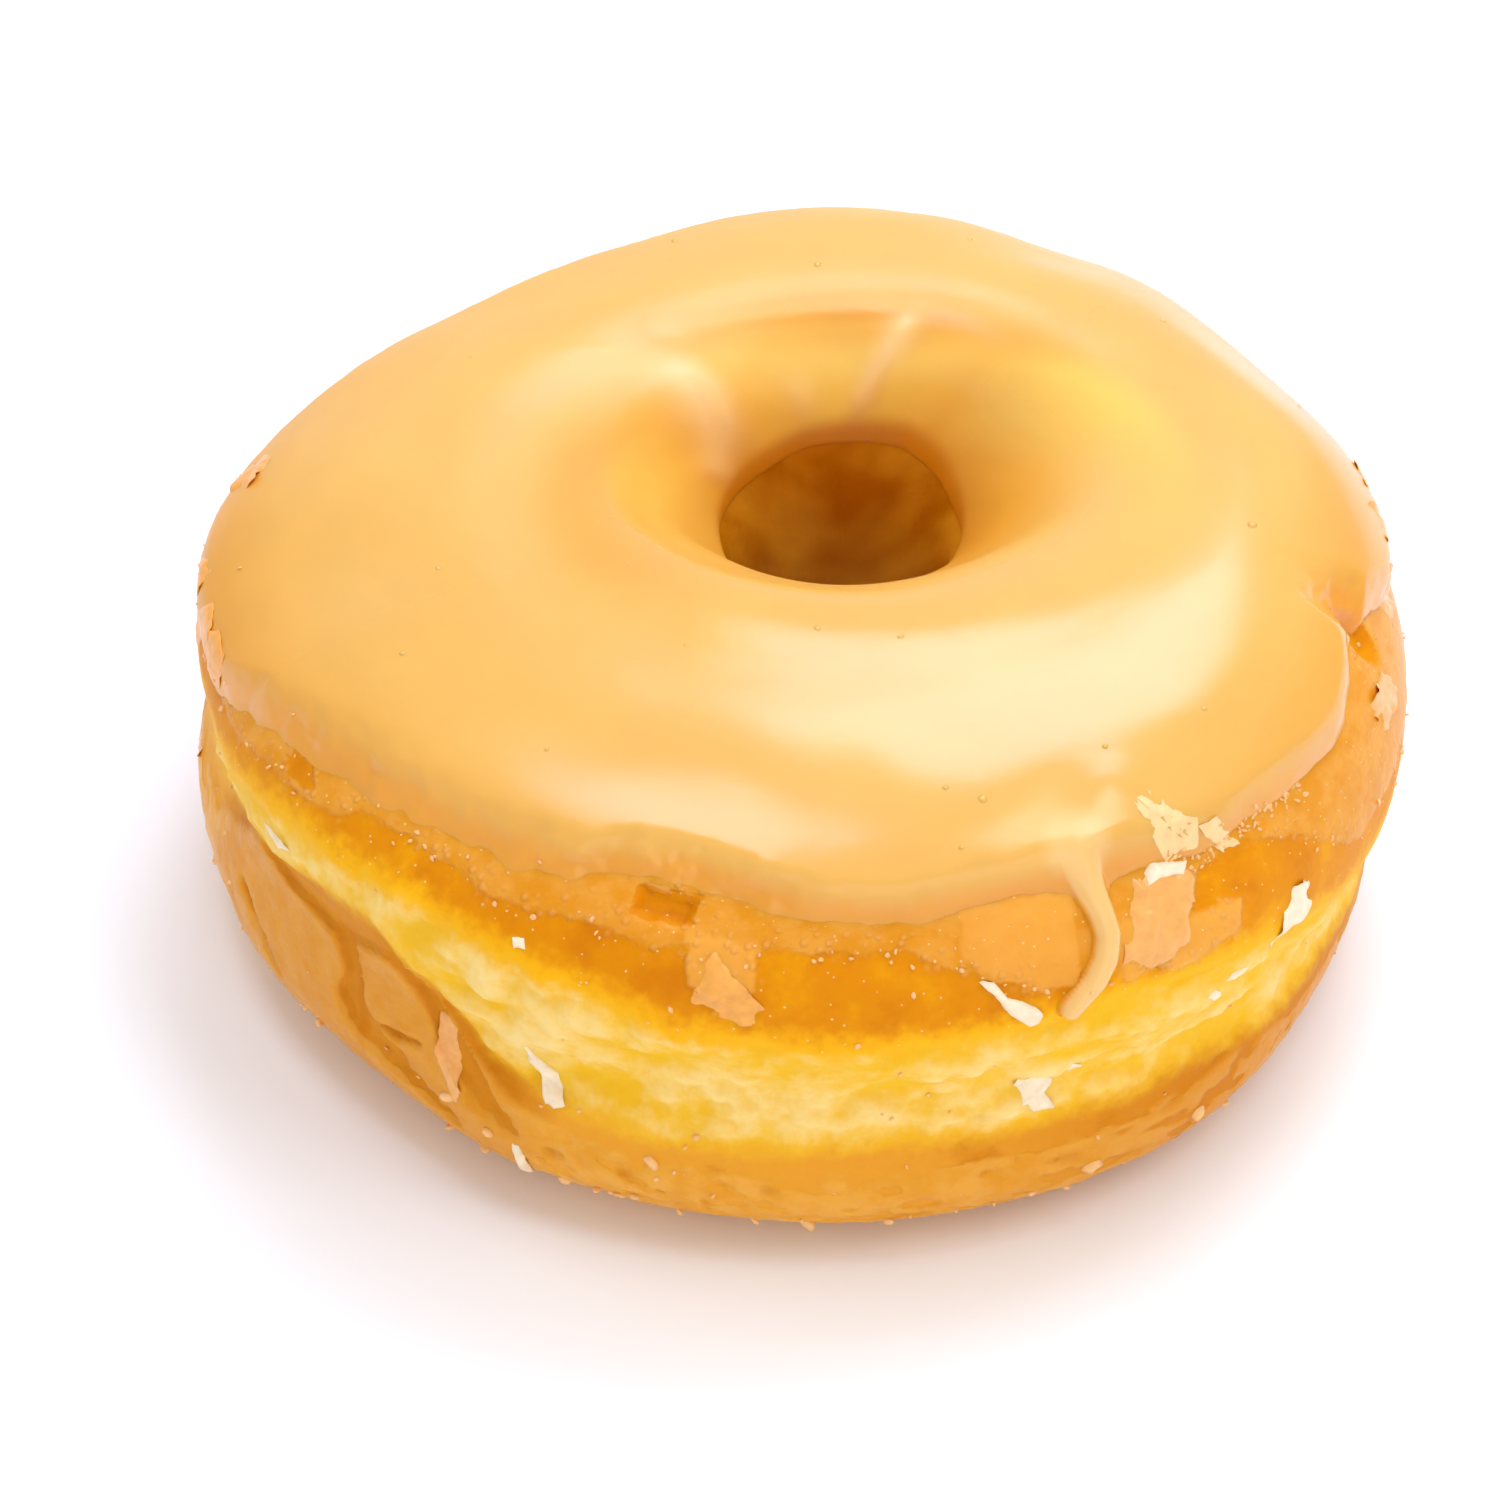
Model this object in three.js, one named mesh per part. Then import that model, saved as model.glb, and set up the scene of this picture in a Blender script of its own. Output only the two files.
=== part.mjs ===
// Maple-iced ring doughnut: a yeast-raised ring of dough with a poured cap of icing.
//
// Units are millimetres and +Z is up.  The doughnut stands on z = 0, and the origin is
// under the middle of its outline.  Azimuth 0 points along +X and grows towards +Y.
//
// The form hangs on seven rings that run round the hole.  Each ring is a little oval,
// tilted and off centre, as dough cut by hand and risen freely is.  Quarter arcs and
// short blends join ring to ring, so one function gives any point of the surface.

import * as THREE from 'three';

const degrees = THREE.MathUtils.degToRad;

// ---------------------------------------------------------------- driving dimensions

const WIDEST_RADIUS = 47.5;
const DOUGH_HEIGHT = 38.2;
const THROAT_RADIUS = 9.4;
const CROWN_RADIUS = 25.4;

const WIDEST_HEIGHT = 21.5;
const BELT_HEIGHT = 16.6;
const BULGE_HEIGHT = 10;
const THROAT_HEIGHT = 20;

const BELT_PINCH = 1.3;
const FOOT_OUTER_RADIUS = 34;
const FOOT_INNER_RADIUS = 21;

const ICING_THICKNESS = 1.5;
const ICING_THICKNESS_IN_HOLE = 1.0;
const ICING_GAP = 0.3;
const ICING_ROUNDED_EDGE = 1.6;
const ICING_OUTER_EDGE_HEIGHT = 33;
const ICING_HOLE_EDGE_HEIGHT = 26.5;

const ICING_SAG = 4;
const ICING_SAG_SPREAD = degrees(29);

const DRIP_LENGTH = 6.6;
const DRIP_ROOT = 0.7;
const DRIP_AZIMUTH = degrees(-64);
const DRIP_HALF_WIDTH = degrees(1.9);

const AZIMUTH_STEPS = 60;
const DRIP_STEP = degrees(1.1);
const DRIP_FINE_REACH = degrees(5.5);
const ICING_STATIONS = 16;

// ------------------------------------------------------------------------ the rings

// A swell adds its height to the radius towards one azimuth and fades over its spread.
const SWELLS = [
  { towards: degrees(66), spread: degrees(20), height: 0.7 },
  { towards: degrees(145), spread: degrees(24), height: -1.0 },
  { towards: degrees(-118), spread: degrees(13), height: 1.0 },
  { towards: degrees(-66), spread: degrees(14), height: -0.6 },
  { towards: degrees(-32), spread: degrees(13), height: -1.0 },
];

// How the ring rose: wider towards one side, slightly three-cornered, lumpy, and with
// its belt riding higher on the -X side than on the +X side.
const OUTLINE = {
  oval: 0.9, ovalTowards: degrees(-25),
  corner: 0.8, cornerTowards: degrees(72),
  tiltX: -2.6, tiltY: -1.2,
  swells: SWELLS,
};

// radius, height, centre, oval (extra radius towards ovalTowards, less across it),
// corner (the same three times round), and the rise of the ring at +X and at +Y
const RINGS = {
  throat: { radius: THROAT_RADIUS, height: THROAT_HEIGHT, x: 2.6, y: 8.8 },
  crown: { radius: CROWN_RADIUS, height: DOUGH_HEIGHT, x: 3.7, y: -1.2, oval: 2, tiltX: 0.8 },
  widest: { ...OUTLINE, radius: WIDEST_RADIUS, height: WIDEST_HEIGHT, x: 0, y: 0 },
  belt: { ...OUTLINE, radius: WIDEST_RADIUS - BELT_PINCH, height: BELT_HEIGHT, x: -0.6, y: 0.1 },
  bulge: { ...OUTLINE, radius: WIDEST_RADIUS - 0.2, height: BULGE_HEIGHT, x: -0.8, y: 0.2 },
  footOuter: { radius: FOOT_OUTER_RADIUS, height: 0, x: 1.5, y: -0.4 },
  footInner: { radius: FOOT_INNER_RADIUS, height: 0, x: 1.8, y: 2 },
};

// 1 at the azimuth itself, fading smoothly to nothing on both sides over the spread.
function fade(azimuth, towards, spread) {
  return Math.exp((Math.cos(azimuth - towards) - 1) / spread ** 2);
}

function ringPoint(ring, azimuth) {
  const oval = (ring.oval ?? 0) * Math.cos(2 * (azimuth - (ring.ovalTowards ?? 0)));
  const corner = (ring.corner ?? 0) * Math.cos(3 * (azimuth - (ring.cornerTowards ?? 0)));
  const swell = (ring.swells ?? []).reduce(
    (sum, each) => sum + each.height * fade(azimuth, each.towards, each.spread), 0);
  const radius = ring.radius + oval + corner + swell;
  const across = Math.cos(azimuth);
  const along = Math.sin(azimuth);
  const rise = (ring.tiltX ?? 0) * across + (ring.tiltY ?? 0) * along;
  return new THREE.Vector3(ring.x + radius * across, ring.y + radius * along, ring.height + rise);
}

// ---------------------------------------------------------------- spans between rings

// Superellipse quarter from a ring where the surface lies level to one where it stands
// upright.  A fullness of 2 is a true ellipse, and more is squarer.
function quarterArc(level, upright, fullness, along) {
  const angle = along * Math.PI / 2;
  const outward = Math.sin(angle) ** (2 / fullness);
  const fall = Math.cos(angle) ** (2 / fullness);
  const point = level.clone().lerp(upright, outward);
  point.z = THREE.MathUtils.lerp(upright.z, level.z, fall);
  return point;
}

// Blend between two upright rings: straight in height, eased in radius.
function softBlend(from, to, along) {
  const point = from.clone().lerp(to, THREE.MathUtils.smoothstep(along, 0, 1));
  point.z = THREE.MathUtils.lerp(from.z, to.z, along);
  return point;
}

const FUNNEL_FULLNESS = 1.85;
const DOME_FULLNESS = 2.1;
const UNDERSIDE_FULLNESS = 2.7;
const INNER_UNDERSIDE_FULLNESS = 2.2;

const reversed = (along) => 1 - along;

// The spans in order from the throat over the top, down outside and back underneath.
const SPANS = [
  { steps: 7, from: 'throat', to: 'crown',
    at: (a, b, t) => quarterArc(b, a, FUNNEL_FULLNESS, reversed(t)) },
  { steps: 8, from: 'crown', to: 'widest',
    at: (a, b, t) => quarterArc(a, b, DOME_FULLNESS, t) },
  { steps: 2, from: 'widest', to: 'belt', at: softBlend },
  { steps: 2, from: 'belt', to: 'bulge', at: softBlend },
  { steps: 5, from: 'bulge', to: 'footOuter',
    at: (a, b, t) => quarterArc(b, a, UNDERSIDE_FULLNESS, reversed(t)) },
  { steps: 1, from: 'footOuter', to: 'footInner', at: (a, b, t) => a.clone().lerp(b, t) },
  { steps: 5, from: 'footInner', to: 'throat',
    at: (a, b, t) => quarterArc(a, b, INNER_UNDERSIDE_FULLNESS, t) },
];

// A station is a span's place in the list plus the way along that span: 0 is the
// throat, 1 the crown and 2 the widest ring.
function surfacePoint(azimuth, station) {
  const index = Math.min(Math.floor(station), SPANS.length - 1);
  const span = SPANS[index];
  const from = ringPoint(RINGS[span.from], azimuth);
  const to = ringPoint(RINGS[span.to], azimuth);
  return span.at(from, to, station - index);
}

const PROBE = 0.01;

function surfaceNormal(azimuth, station) {
  const round = surfacePoint(azimuth + PROBE, station).sub(surfacePoint(azimuth - PROBE, station));
  const over = surfacePoint(azimuth, station + PROBE).sub(surfacePoint(azimuth, station - PROBE));
  return over.cross(round).normalize();
}

// ------------------------------------------------------------------- closed ring mesh

// Azimuths all round, with finer steps where the drip hangs.
function azimuthList() {
  const step = 2 * Math.PI / AZIMUTH_STEPS;
  const dripStart = DRIP_AZIMUTH - DRIP_FINE_REACH;
  const dripEnd = DRIP_AZIMUTH + DRIP_FINE_REACH;
  const list = [];
  let azimuth = dripStart;
  while (azimuth < dripEnd - DRIP_STEP / 2) {
    list.push(azimuth);
    azimuth += DRIP_STEP;
  }
  const rest = 2 * Math.PI - (dripEnd - dripStart);
  const coarseSteps = Math.round(rest / step);
  for (let i = 0; i < coarseSteps; i += 1) {
    list.push(dripEnd + rest * i / coarseSteps);
  }
  return list;
}

const AZIMUTHS = azimuthList();

// Sweeps a closed section loop round the hole.  sectionAt(azimuth) gives the same
// number of points at every azimuth, from the throat over the top and back below.
function sweptRing(sectionAt) {
  const sections = AZIMUTHS.map(sectionAt);
  const count = sections[0].length;
  const positions = sections.flat().flatMap((point) => [point.x, point.y, point.z]);
  const indices = [];
  for (let i = 0; i < sections.length; i += 1) {
    const here = i * count;
    const next = ((i + 1) % sections.length) * count;
    for (let j = 0; j < count; j += 1) {
      const after = (j + 1) % count;
      indices.push(here + j, here + after, next + after);
      indices.push(here + j, next + after, next + j);
    }
  }
  const geometry = new THREE.BufferGeometry();
  geometry.setAttribute('position', new THREE.Float32BufferAttribute(positions, 3));
  geometry.setIndex(indices);
  geometry.computeVertexNormals();
  return geometry;
}

// ------------------------------------------------------------------------- the dough

function doughSection(azimuth) {
  const section = [];
  SPANS.forEach((span, index) => {
    for (let i = 0; i < span.steps; i += 1) {
      section.push(surfacePoint(azimuth, index + i / span.steps));
    }
  });
  return section;
}

// ------------------------------------------------------------------------- the icing

// Way along a quarter arc, from its level ring, at which it has come down to a height.
function wayDownTo(height, levelHeight, uprightHeight, fullness) {
  const fall = (height - uprightHeight) / (levelHeight - uprightHeight);
  return Math.acos(THREE.MathUtils.clamp(fall, 0, 1) ** (fullness / 2)) * 2 / Math.PI;
}

// The outer edge wanders in slow waves and sags on the -X side.
function icingOuterEdgeHeight(azimuth) {
  const sag = ICING_SAG * fade(azimuth, Math.PI, ICING_SAG_SPREAD);
  const waves = 0.7 * Math.cos(3 * azimuth + 0.4) + 0.45 * Math.sin(7 * azimuth - 0.6);
  return ICING_OUTER_EDGE_HEIGHT - sag + waves;
}

// One drip runs down past the edge: a tongue with a blunt tip.
function dripFall(azimuth) {
  const offset = THREE.MathUtils.euclideanModulo(azimuth - DRIP_AZIMUTH + Math.PI, 2 * Math.PI);
  const fromMiddle = (offset - Math.PI) / DRIP_HALF_WIDTH;
  return DRIP_LENGTH * Math.exp(-(fromMiddle ** 4));
}

function icingHoleEdgeHeight(azimuth) {
  return ICING_HOLE_EDGE_HEIGHT + 0.8 * Math.cos(2 * azimuth + 1) + 0.4 * Math.sin(5 * azimuth);
}

function icingEdgeStations(azimuth) {
  const throat = ringPoint(RINGS.throat, azimuth);
  const crown = ringPoint(RINGS.crown, azimuth);
  const widest = ringPoint(RINGS.widest, azimuth);
  const holeEdge = icingHoleEdgeHeight(azimuth);
  const outerEdge = icingOuterEdgeHeight(azimuth);
  const dripTip = outerEdge - dripFall(azimuth);
  return {
    start: 1 - wayDownTo(holeEdge, crown.z, throat.z, FUNNEL_FULLNESS),
    end: 1 + wayDownTo(outerEdge, crown.z, widest.z, DOME_FULLNESS),
    tip: 1 + wayDownTo(dripTip, crown.z, widest.z, DOME_FULLNESS),
  };
}

// Full thickness away from the edges, and a round nose at each of them.
function icingThickness(station, fromEdge) {
  const full = THREE.MathUtils.lerp(ICING_THICKNESS_IN_HOLE, ICING_THICKNESS,
    THREE.MathUtils.smoothstep(station, 0.3, 1));
  const way = Math.min(fromEdge / ICING_ROUNDED_EDGE, 1);
  return full * Math.sqrt(1 - (1 - way) ** 2);
}

function lifted(azimuth, station, lift) {
  const normal = surfaceNormal(azimuth, station);
  return surfacePoint(azimuth, station).addScaledVector(normal, lift);
}

// Stations crowd towards both edges, and only the last of them stretch down the drip.
function icingStations(azimuth) {
  const { start, end, tip } = icingEdgeStations(azimuth);
  const stations = [];
  for (let i = 0; i <= ICING_STATIONS; i += 1) {
    const eased = (1 - Math.cos(Math.PI * i / ICING_STATIONS)) / 2;
    const stretch = THREE.MathUtils.smoothstep(eased, DRIP_ROOT, 1);
    stations.push(THREE.MathUtils.lerp(start, end, eased) + (tip - end) * stretch);
  }
  return stations;
}

function icingSection(azimuth) {
  const stations = icingStations(azimuth);
  const below = stations.map((station) => lifted(azimuth, station, ICING_GAP));
  const holeEdge = below[0];
  const outerEdge = below[ICING_STATIONS];
  const top = [];
  for (let i = 1; i < ICING_STATIONS; i += 1) {
    const fromEdge = Math.min(below[i].distanceTo(holeEdge), below[i].distanceTo(outerEdge));
    const lift = ICING_GAP + icingThickness(stations[i], fromEdge);
    top.push(lifted(azimuth, stations[i], lift));
  }
  return [holeEdge, ...top, outerEdge, ...below.slice(1, ICING_STATIONS).reverse()];
}

// ---------------------------------------------------------------------- the doughnut

function foodMesh(name, geometry, colour, roughness) {
  const material = new THREE.MeshStandardMaterial({ color: colour, roughness, metalness: 0 });
  const mesh = new THREE.Mesh(geometry, material);
  mesh.name = name;
  return mesh;
}

const doughRing = foodMesh('dough_ring', sweptRing(doughSection), '#e3a045', 0.55);
const mapleIcing = foodMesh('maple_icing', sweptRing(icingSection), '#f6bf68', 0.3);

// Stands the doughnut over the origin by the middle of its outline.
function centredOverOrigin(meshes) {
  const group = new THREE.Group();
  group.add(...meshes);
  const middle = new THREE.Box3().setFromObject(group).getCenter(new THREE.Vector3());
  group.position.set(-middle.x, -middle.y, 0);
  return group;
}

export default centredOverOrigin([doughRing, mapleIcing]);
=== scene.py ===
"""Maple-iced ring doughnut: fried yeast dough, poured maple icing and torn sugar glaze.

The classes work in millimetres, and meshes, lights and the camera are made in metres.
+Z is up.  Azimuth 0 points along +X and grows towards +Y.  "Down" is the way along the
surface from the crown in millimetres: positive over the outside, negative into the hole.
"""

import itertools
import logging
import math
from dataclasses import dataclass, field
from enum import Enum

import bmesh
import bpy
import numpy as np
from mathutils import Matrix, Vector


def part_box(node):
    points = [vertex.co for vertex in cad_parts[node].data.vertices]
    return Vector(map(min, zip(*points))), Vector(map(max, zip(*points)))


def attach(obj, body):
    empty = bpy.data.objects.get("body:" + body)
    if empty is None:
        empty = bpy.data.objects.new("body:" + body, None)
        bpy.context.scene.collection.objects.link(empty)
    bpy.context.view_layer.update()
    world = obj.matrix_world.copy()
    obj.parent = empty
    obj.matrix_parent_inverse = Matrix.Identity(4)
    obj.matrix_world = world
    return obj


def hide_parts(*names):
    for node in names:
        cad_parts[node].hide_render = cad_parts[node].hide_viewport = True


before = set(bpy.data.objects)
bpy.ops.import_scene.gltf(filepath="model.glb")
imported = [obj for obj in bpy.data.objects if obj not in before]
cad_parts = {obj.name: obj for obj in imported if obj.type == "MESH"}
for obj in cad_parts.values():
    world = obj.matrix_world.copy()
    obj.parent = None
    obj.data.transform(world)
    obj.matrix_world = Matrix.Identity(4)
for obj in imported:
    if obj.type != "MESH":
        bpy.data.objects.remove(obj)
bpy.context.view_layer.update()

Array = np.ndarray
Colour = tuple[float, float, float, float]

log = logging.getLogger("doughnut")

METRES = 0.001
BODY = "root"

# Patterns on the side are laid out on its radius.
SIDE_RADIUS = 45.0
MM_PER_DEGREE = math.radians(SIDE_RADIUS)

# How many numbers a random field draws and picks from, a power of two.
LATTICE = 1024


# ------------------------------------------------------------------- small helpers


def hex_colour(value: str) -> Colour:
    """Turns an sRGB hex colour into a linear one.

    Args:
        value: Six hex digits with a leading #.

    Returns:
        Linear red, green and blue, and an alpha of 1.
    """
    parts = [int(value[i : i + 2], 16) / 255 for i in (1, 3, 5)]
    linear = [p / 12.92 if p <= 0.04045 else ((p + 0.055) / 1.055) ** 2.4 for p in parts]
    return (*linear, 1.0)


def smooth(value: Array, start: float | Array, end: float | Array) -> Array:
    """Eases from 0 at start to 1 at end.

    Args:
        value: What is eased.
        start: Where the step begins.
        end: Where the step is whole.

    Returns:
        A number from 0 to 1 for each value.
    """
    way = np.clip((value - start) / (end - start), 0, 1)
    return way * way * (3 - 2 * way)


def fade(azimuth: Array, towards: float, spread: float) -> Array:
    """Gives 1 at one azimuth, fading smoothly to nothing on both sides.

    Args:
        azimuth: Azimuths in radians.
        towards: Where it is 1, in degrees.
        spread: How wide it is, in degrees.

    Returns:
        A number from 0 to 1 for each azimuth.
    """
    return np.exp((np.cos(azimuth - math.radians(towards)) - 1) / math.radians(spread) ** 2)


def degrees_from(azimuth: Array, towards: float) -> Array:
    """Signed degrees from one azimuth, between -180 and 180."""
    return (np.degrees(azimuth) - towards + 180) % 360 - 180


def beside_line(
    x: Array, y: Array, step_x: float | Array, step_y: float
) -> tuple[Array, Array]:
    """Measures places against a straight line that starts at 0, 0.

    Args:
        x: Places across.
        y: Places down.
        step_x: How far across the line ends.
        step_y: How far down the line ends.

    Returns:
        The share of the line that each place has passed, and its distance from the line.
    """
    way = np.clip((x * step_x + y * step_y) / (step_x**2 + step_y**2 + 1e-9), 0, 1)
    return way, np.hypot(x - way * step_x, y - way * step_y)


def drum(azimuth: Array, down: Array) -> Array:
    """Rolls the surface out on an upright drum, narrow at the hole, to lay patterns on.

    Args:
        azimuth: Azimuths in radians.
        down: Way down from the crown in millimetres.

    Returns:
        Points in millimetres, their last axis x, y and z.
    """
    radius = np.interp(down, [-22, 0, 20, 60, 80], [10, 25, 46, 44, 24])
    across, along, low = np.broadcast_arrays(np.cos(azimuth), np.sin(azimuth), down)
    return np.stack([radius * across, radius * along, low], axis=-1)


@dataclass
class RandomField:
    """Smooth random field in space, the same each time for the same seed."""

    seed: int
    slopes: Array = field(init=False)

    def __post_init__(self) -> None:
        """Draws the slopes that the lattice points pick from."""
        drawn = np.random.default_rng(self.seed).normal(size=(LATTICE, 3))
        self.slopes = drawn / np.linalg.norm(drawn, axis=1, keepdims=True)

    def at(self, points: Array) -> Array:
        """Reads the field.

        Args:
            points: Places, their last axis x, y and z, one lattice step apart at 1.

        Returns:
            About -1 to 1 at each point.
        """
        cell = np.floor(points).astype(np.int64)
        way = points - cell
        ease = way**3 * (way * (way * 6 - 15) + 10)
        total = np.zeros(points.shape[:-1])
        for corner in itertools.product((0, 1), repeat=3):
            offset = np.array(corner)
            slope = self.slopes[lattice_pick(cell + offset, self.seed)]
            weight = np.prod(np.where(offset, ease, 1 - ease), axis=-1)
            total += weight * ((way - offset) * slope).sum(axis=-1)
        return total * 1.7

    def layered(self, points: Array, layers: int, gain: float = 0.5) -> Array:
        """Sums the field at finer and finer scales.

        Args:
            points: Places for the coarsest layer.
            layers: How many layers.
            gain: Strength of each layer against the one before.

        Returns:
            About -1 to 1 at each point.
        """
        total = sum(gain**i * self.at(points * 2.03**i + 17.3 * i) for i in range(layers))
        return total / sum(gain**i for i in range(layers))


def lattice_pick(cell: Array, seed: int) -> Array:
    """Picks one of the lattice's entries for each cell, by a usual hash of three numbers.

    Args:
        cell: Whole-number places, their last axis x, y and z.
        seed: Changes the picks.

    Returns:
        A whole number below LATTICE for each cell.
    """
    mixed = cell[..., 0] * 73856093 ^ cell[..., 1] * 19349663 ^ cell[..., 2] * 83492791
    mixed = (mixed + seed * 40503) * 2654435761
    return (mixed >> 15) & (LATTICE - 1)


@dataclass
class CellField:
    """Random cells, one round each heart, such as the lumps of the dough."""

    seed: int
    hearts: Array = field(init=False)

    def __post_init__(self) -> None:
        """Draws where the heart lies in its box, as the first three of every four numbers."""
        self.hearts = np.random.default_rng(self.seed).random((LATTICE, 4))[:, :3]

    def pillows(self, points: Array, sharpness: float = 7.0) -> Array:
        """Soft round lumps, one on each cell's heart.

        Args:
            points: Places, their last axis x, y and z, about one lump apart at 1.
            sharpness: How narrow the valleys between lumps are.

        Returns:
            0 in the valleys to 1 on top of each lump.
        """
        cell = np.floor(points).astype(np.int64)
        total = np.zeros(points.shape[:-1])
        for corner in itertools.product((-1, 0, 1), repeat=3):
            box = cell + np.array(corner)
            heart = self.hearts[lattice_pick(box, self.seed)]
            total += np.exp(-sharpness * np.linalg.norm(box + heart - points, axis=-1))
        return np.clip(1 + np.log(total + 1e-9) / sharpness, 0, 1)


@dataclass(frozen=True)
class Pattern:
    """A random relief of a real size: its seed, millimetres a lump, and layers of detail."""

    seed: int
    size_mm: float | tuple[float, float, float]
    layers: int

    def at(self, place: Array) -> Array:
        """Reads the pattern, about -1 to 1, at places in millimetres."""
        return RandomField(self.seed).layered(place / np.array(self.size_mm), self.layers)


@dataclass(frozen=True)
class RoundCurve:
    """A length that changes round the ring, given at a few azimuths and joined softly."""

    marks: tuple[tuple[float, float], ...]
    rounding: float = 0.8

    def at(self, azimuth: Array) -> Array:
        """Length in millimetres at each azimuth in radians, the mean of five close ones."""
        where, value = zip(*sorted(self.marks))
        close = [np.degrees(azimuth) + step * self.rounding for step in range(-2, 3)]
        return sum(np.interp(angle, where, value, period=360) for angle in close) / len(close)


def crowded_angles(count: int, crowds: tuple[tuple[float, float, float], ...]) -> Array:
    """Azimuths all round, closer together where there is more to show.

    Args:
        count: How many azimuths.
        crowds: Azimuth and spread in degrees, and how much denser it gets there.

    Returns:
        Azimuths in radians, from -pi up.
    """
    fine = np.linspace(-math.pi, math.pi, 7201)
    density = 1 + sum(extra * fade(fine, at, spread) for at, spread, extra in crowds)
    share = np.concatenate([[0], np.cumsum((density[1:] + density[:-1]) / 2)])
    return np.interp(np.arange(count) / count, share / share[-1], fine)


# ------------------------------------------------------------------- form of the ring


@dataclass(frozen=True)
class Swell:
    """Extra radius towards one azimuth, where the dough rose more or less."""

    towards: float
    spread: float
    height: float


@dataclass(frozen=True)
class Ring:
    """A slightly oval, tilted ring round the hole that the surface hangs on."""

    radius: float
    height: float
    x: float
    y: float
    oval: float = 0.0
    oval_towards: float = 0.0
    corner: float = 0.0
    corner_towards: float = 0.0
    tilt_x: float = 0.0
    tilt_y: float = 0.0
    swells: tuple[Swell, ...] = ()

    def point(self, azimuth: Array) -> Array:
        """Point of the ring, in millimetres, at each azimuth in radians."""
        oval = self.oval * np.cos(2 * (azimuth - math.radians(self.oval_towards)))
        corner = self.corner * np.cos(3 * (azimuth - math.radians(self.corner_towards)))
        swell = sum(s.height * fade(azimuth, s.towards, s.spread) for s in self.swells)
        radius = self.radius + oval + corner + swell
        across, along = np.cos(azimuth), np.sin(azimuth)
        rise = self.tilt_x * across + self.tilt_y * along
        return np.stack(
            [self.x + radius * across, self.y + radius * along, self.height + rise], axis=-1
        )


RISEN = (
    Swell(66, 20, 0.7),
    Swell(145, 24, -1.0),
    Swell(-118, 13, 1.0),
    Swell(-66, 14, -0.6),
    Swell(-32, 13, -1.0),
)

DENTS = (
    Swell(28, 9, -1.1),
    Swell(42, 8, -0.4),
    Swell(61, 8, -0.9),
    Swell(84, 12, 0.5),
    Swell(119, 9, -0.4),
    Swell(139, 9, -0.7),
    Swell(163, 9, -0.4),
    Swell(-166, 8, -0.9),
)


def risen_ring(radius: float, height: float, x: float, y: float) -> Ring:
    """A ring of the lumpy outer side, its belt higher on the -X side."""
    return Ring(radius, height, x, y, 0.9, -25, 0.8, 72, -2.6, -1.2, RISEN)


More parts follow.
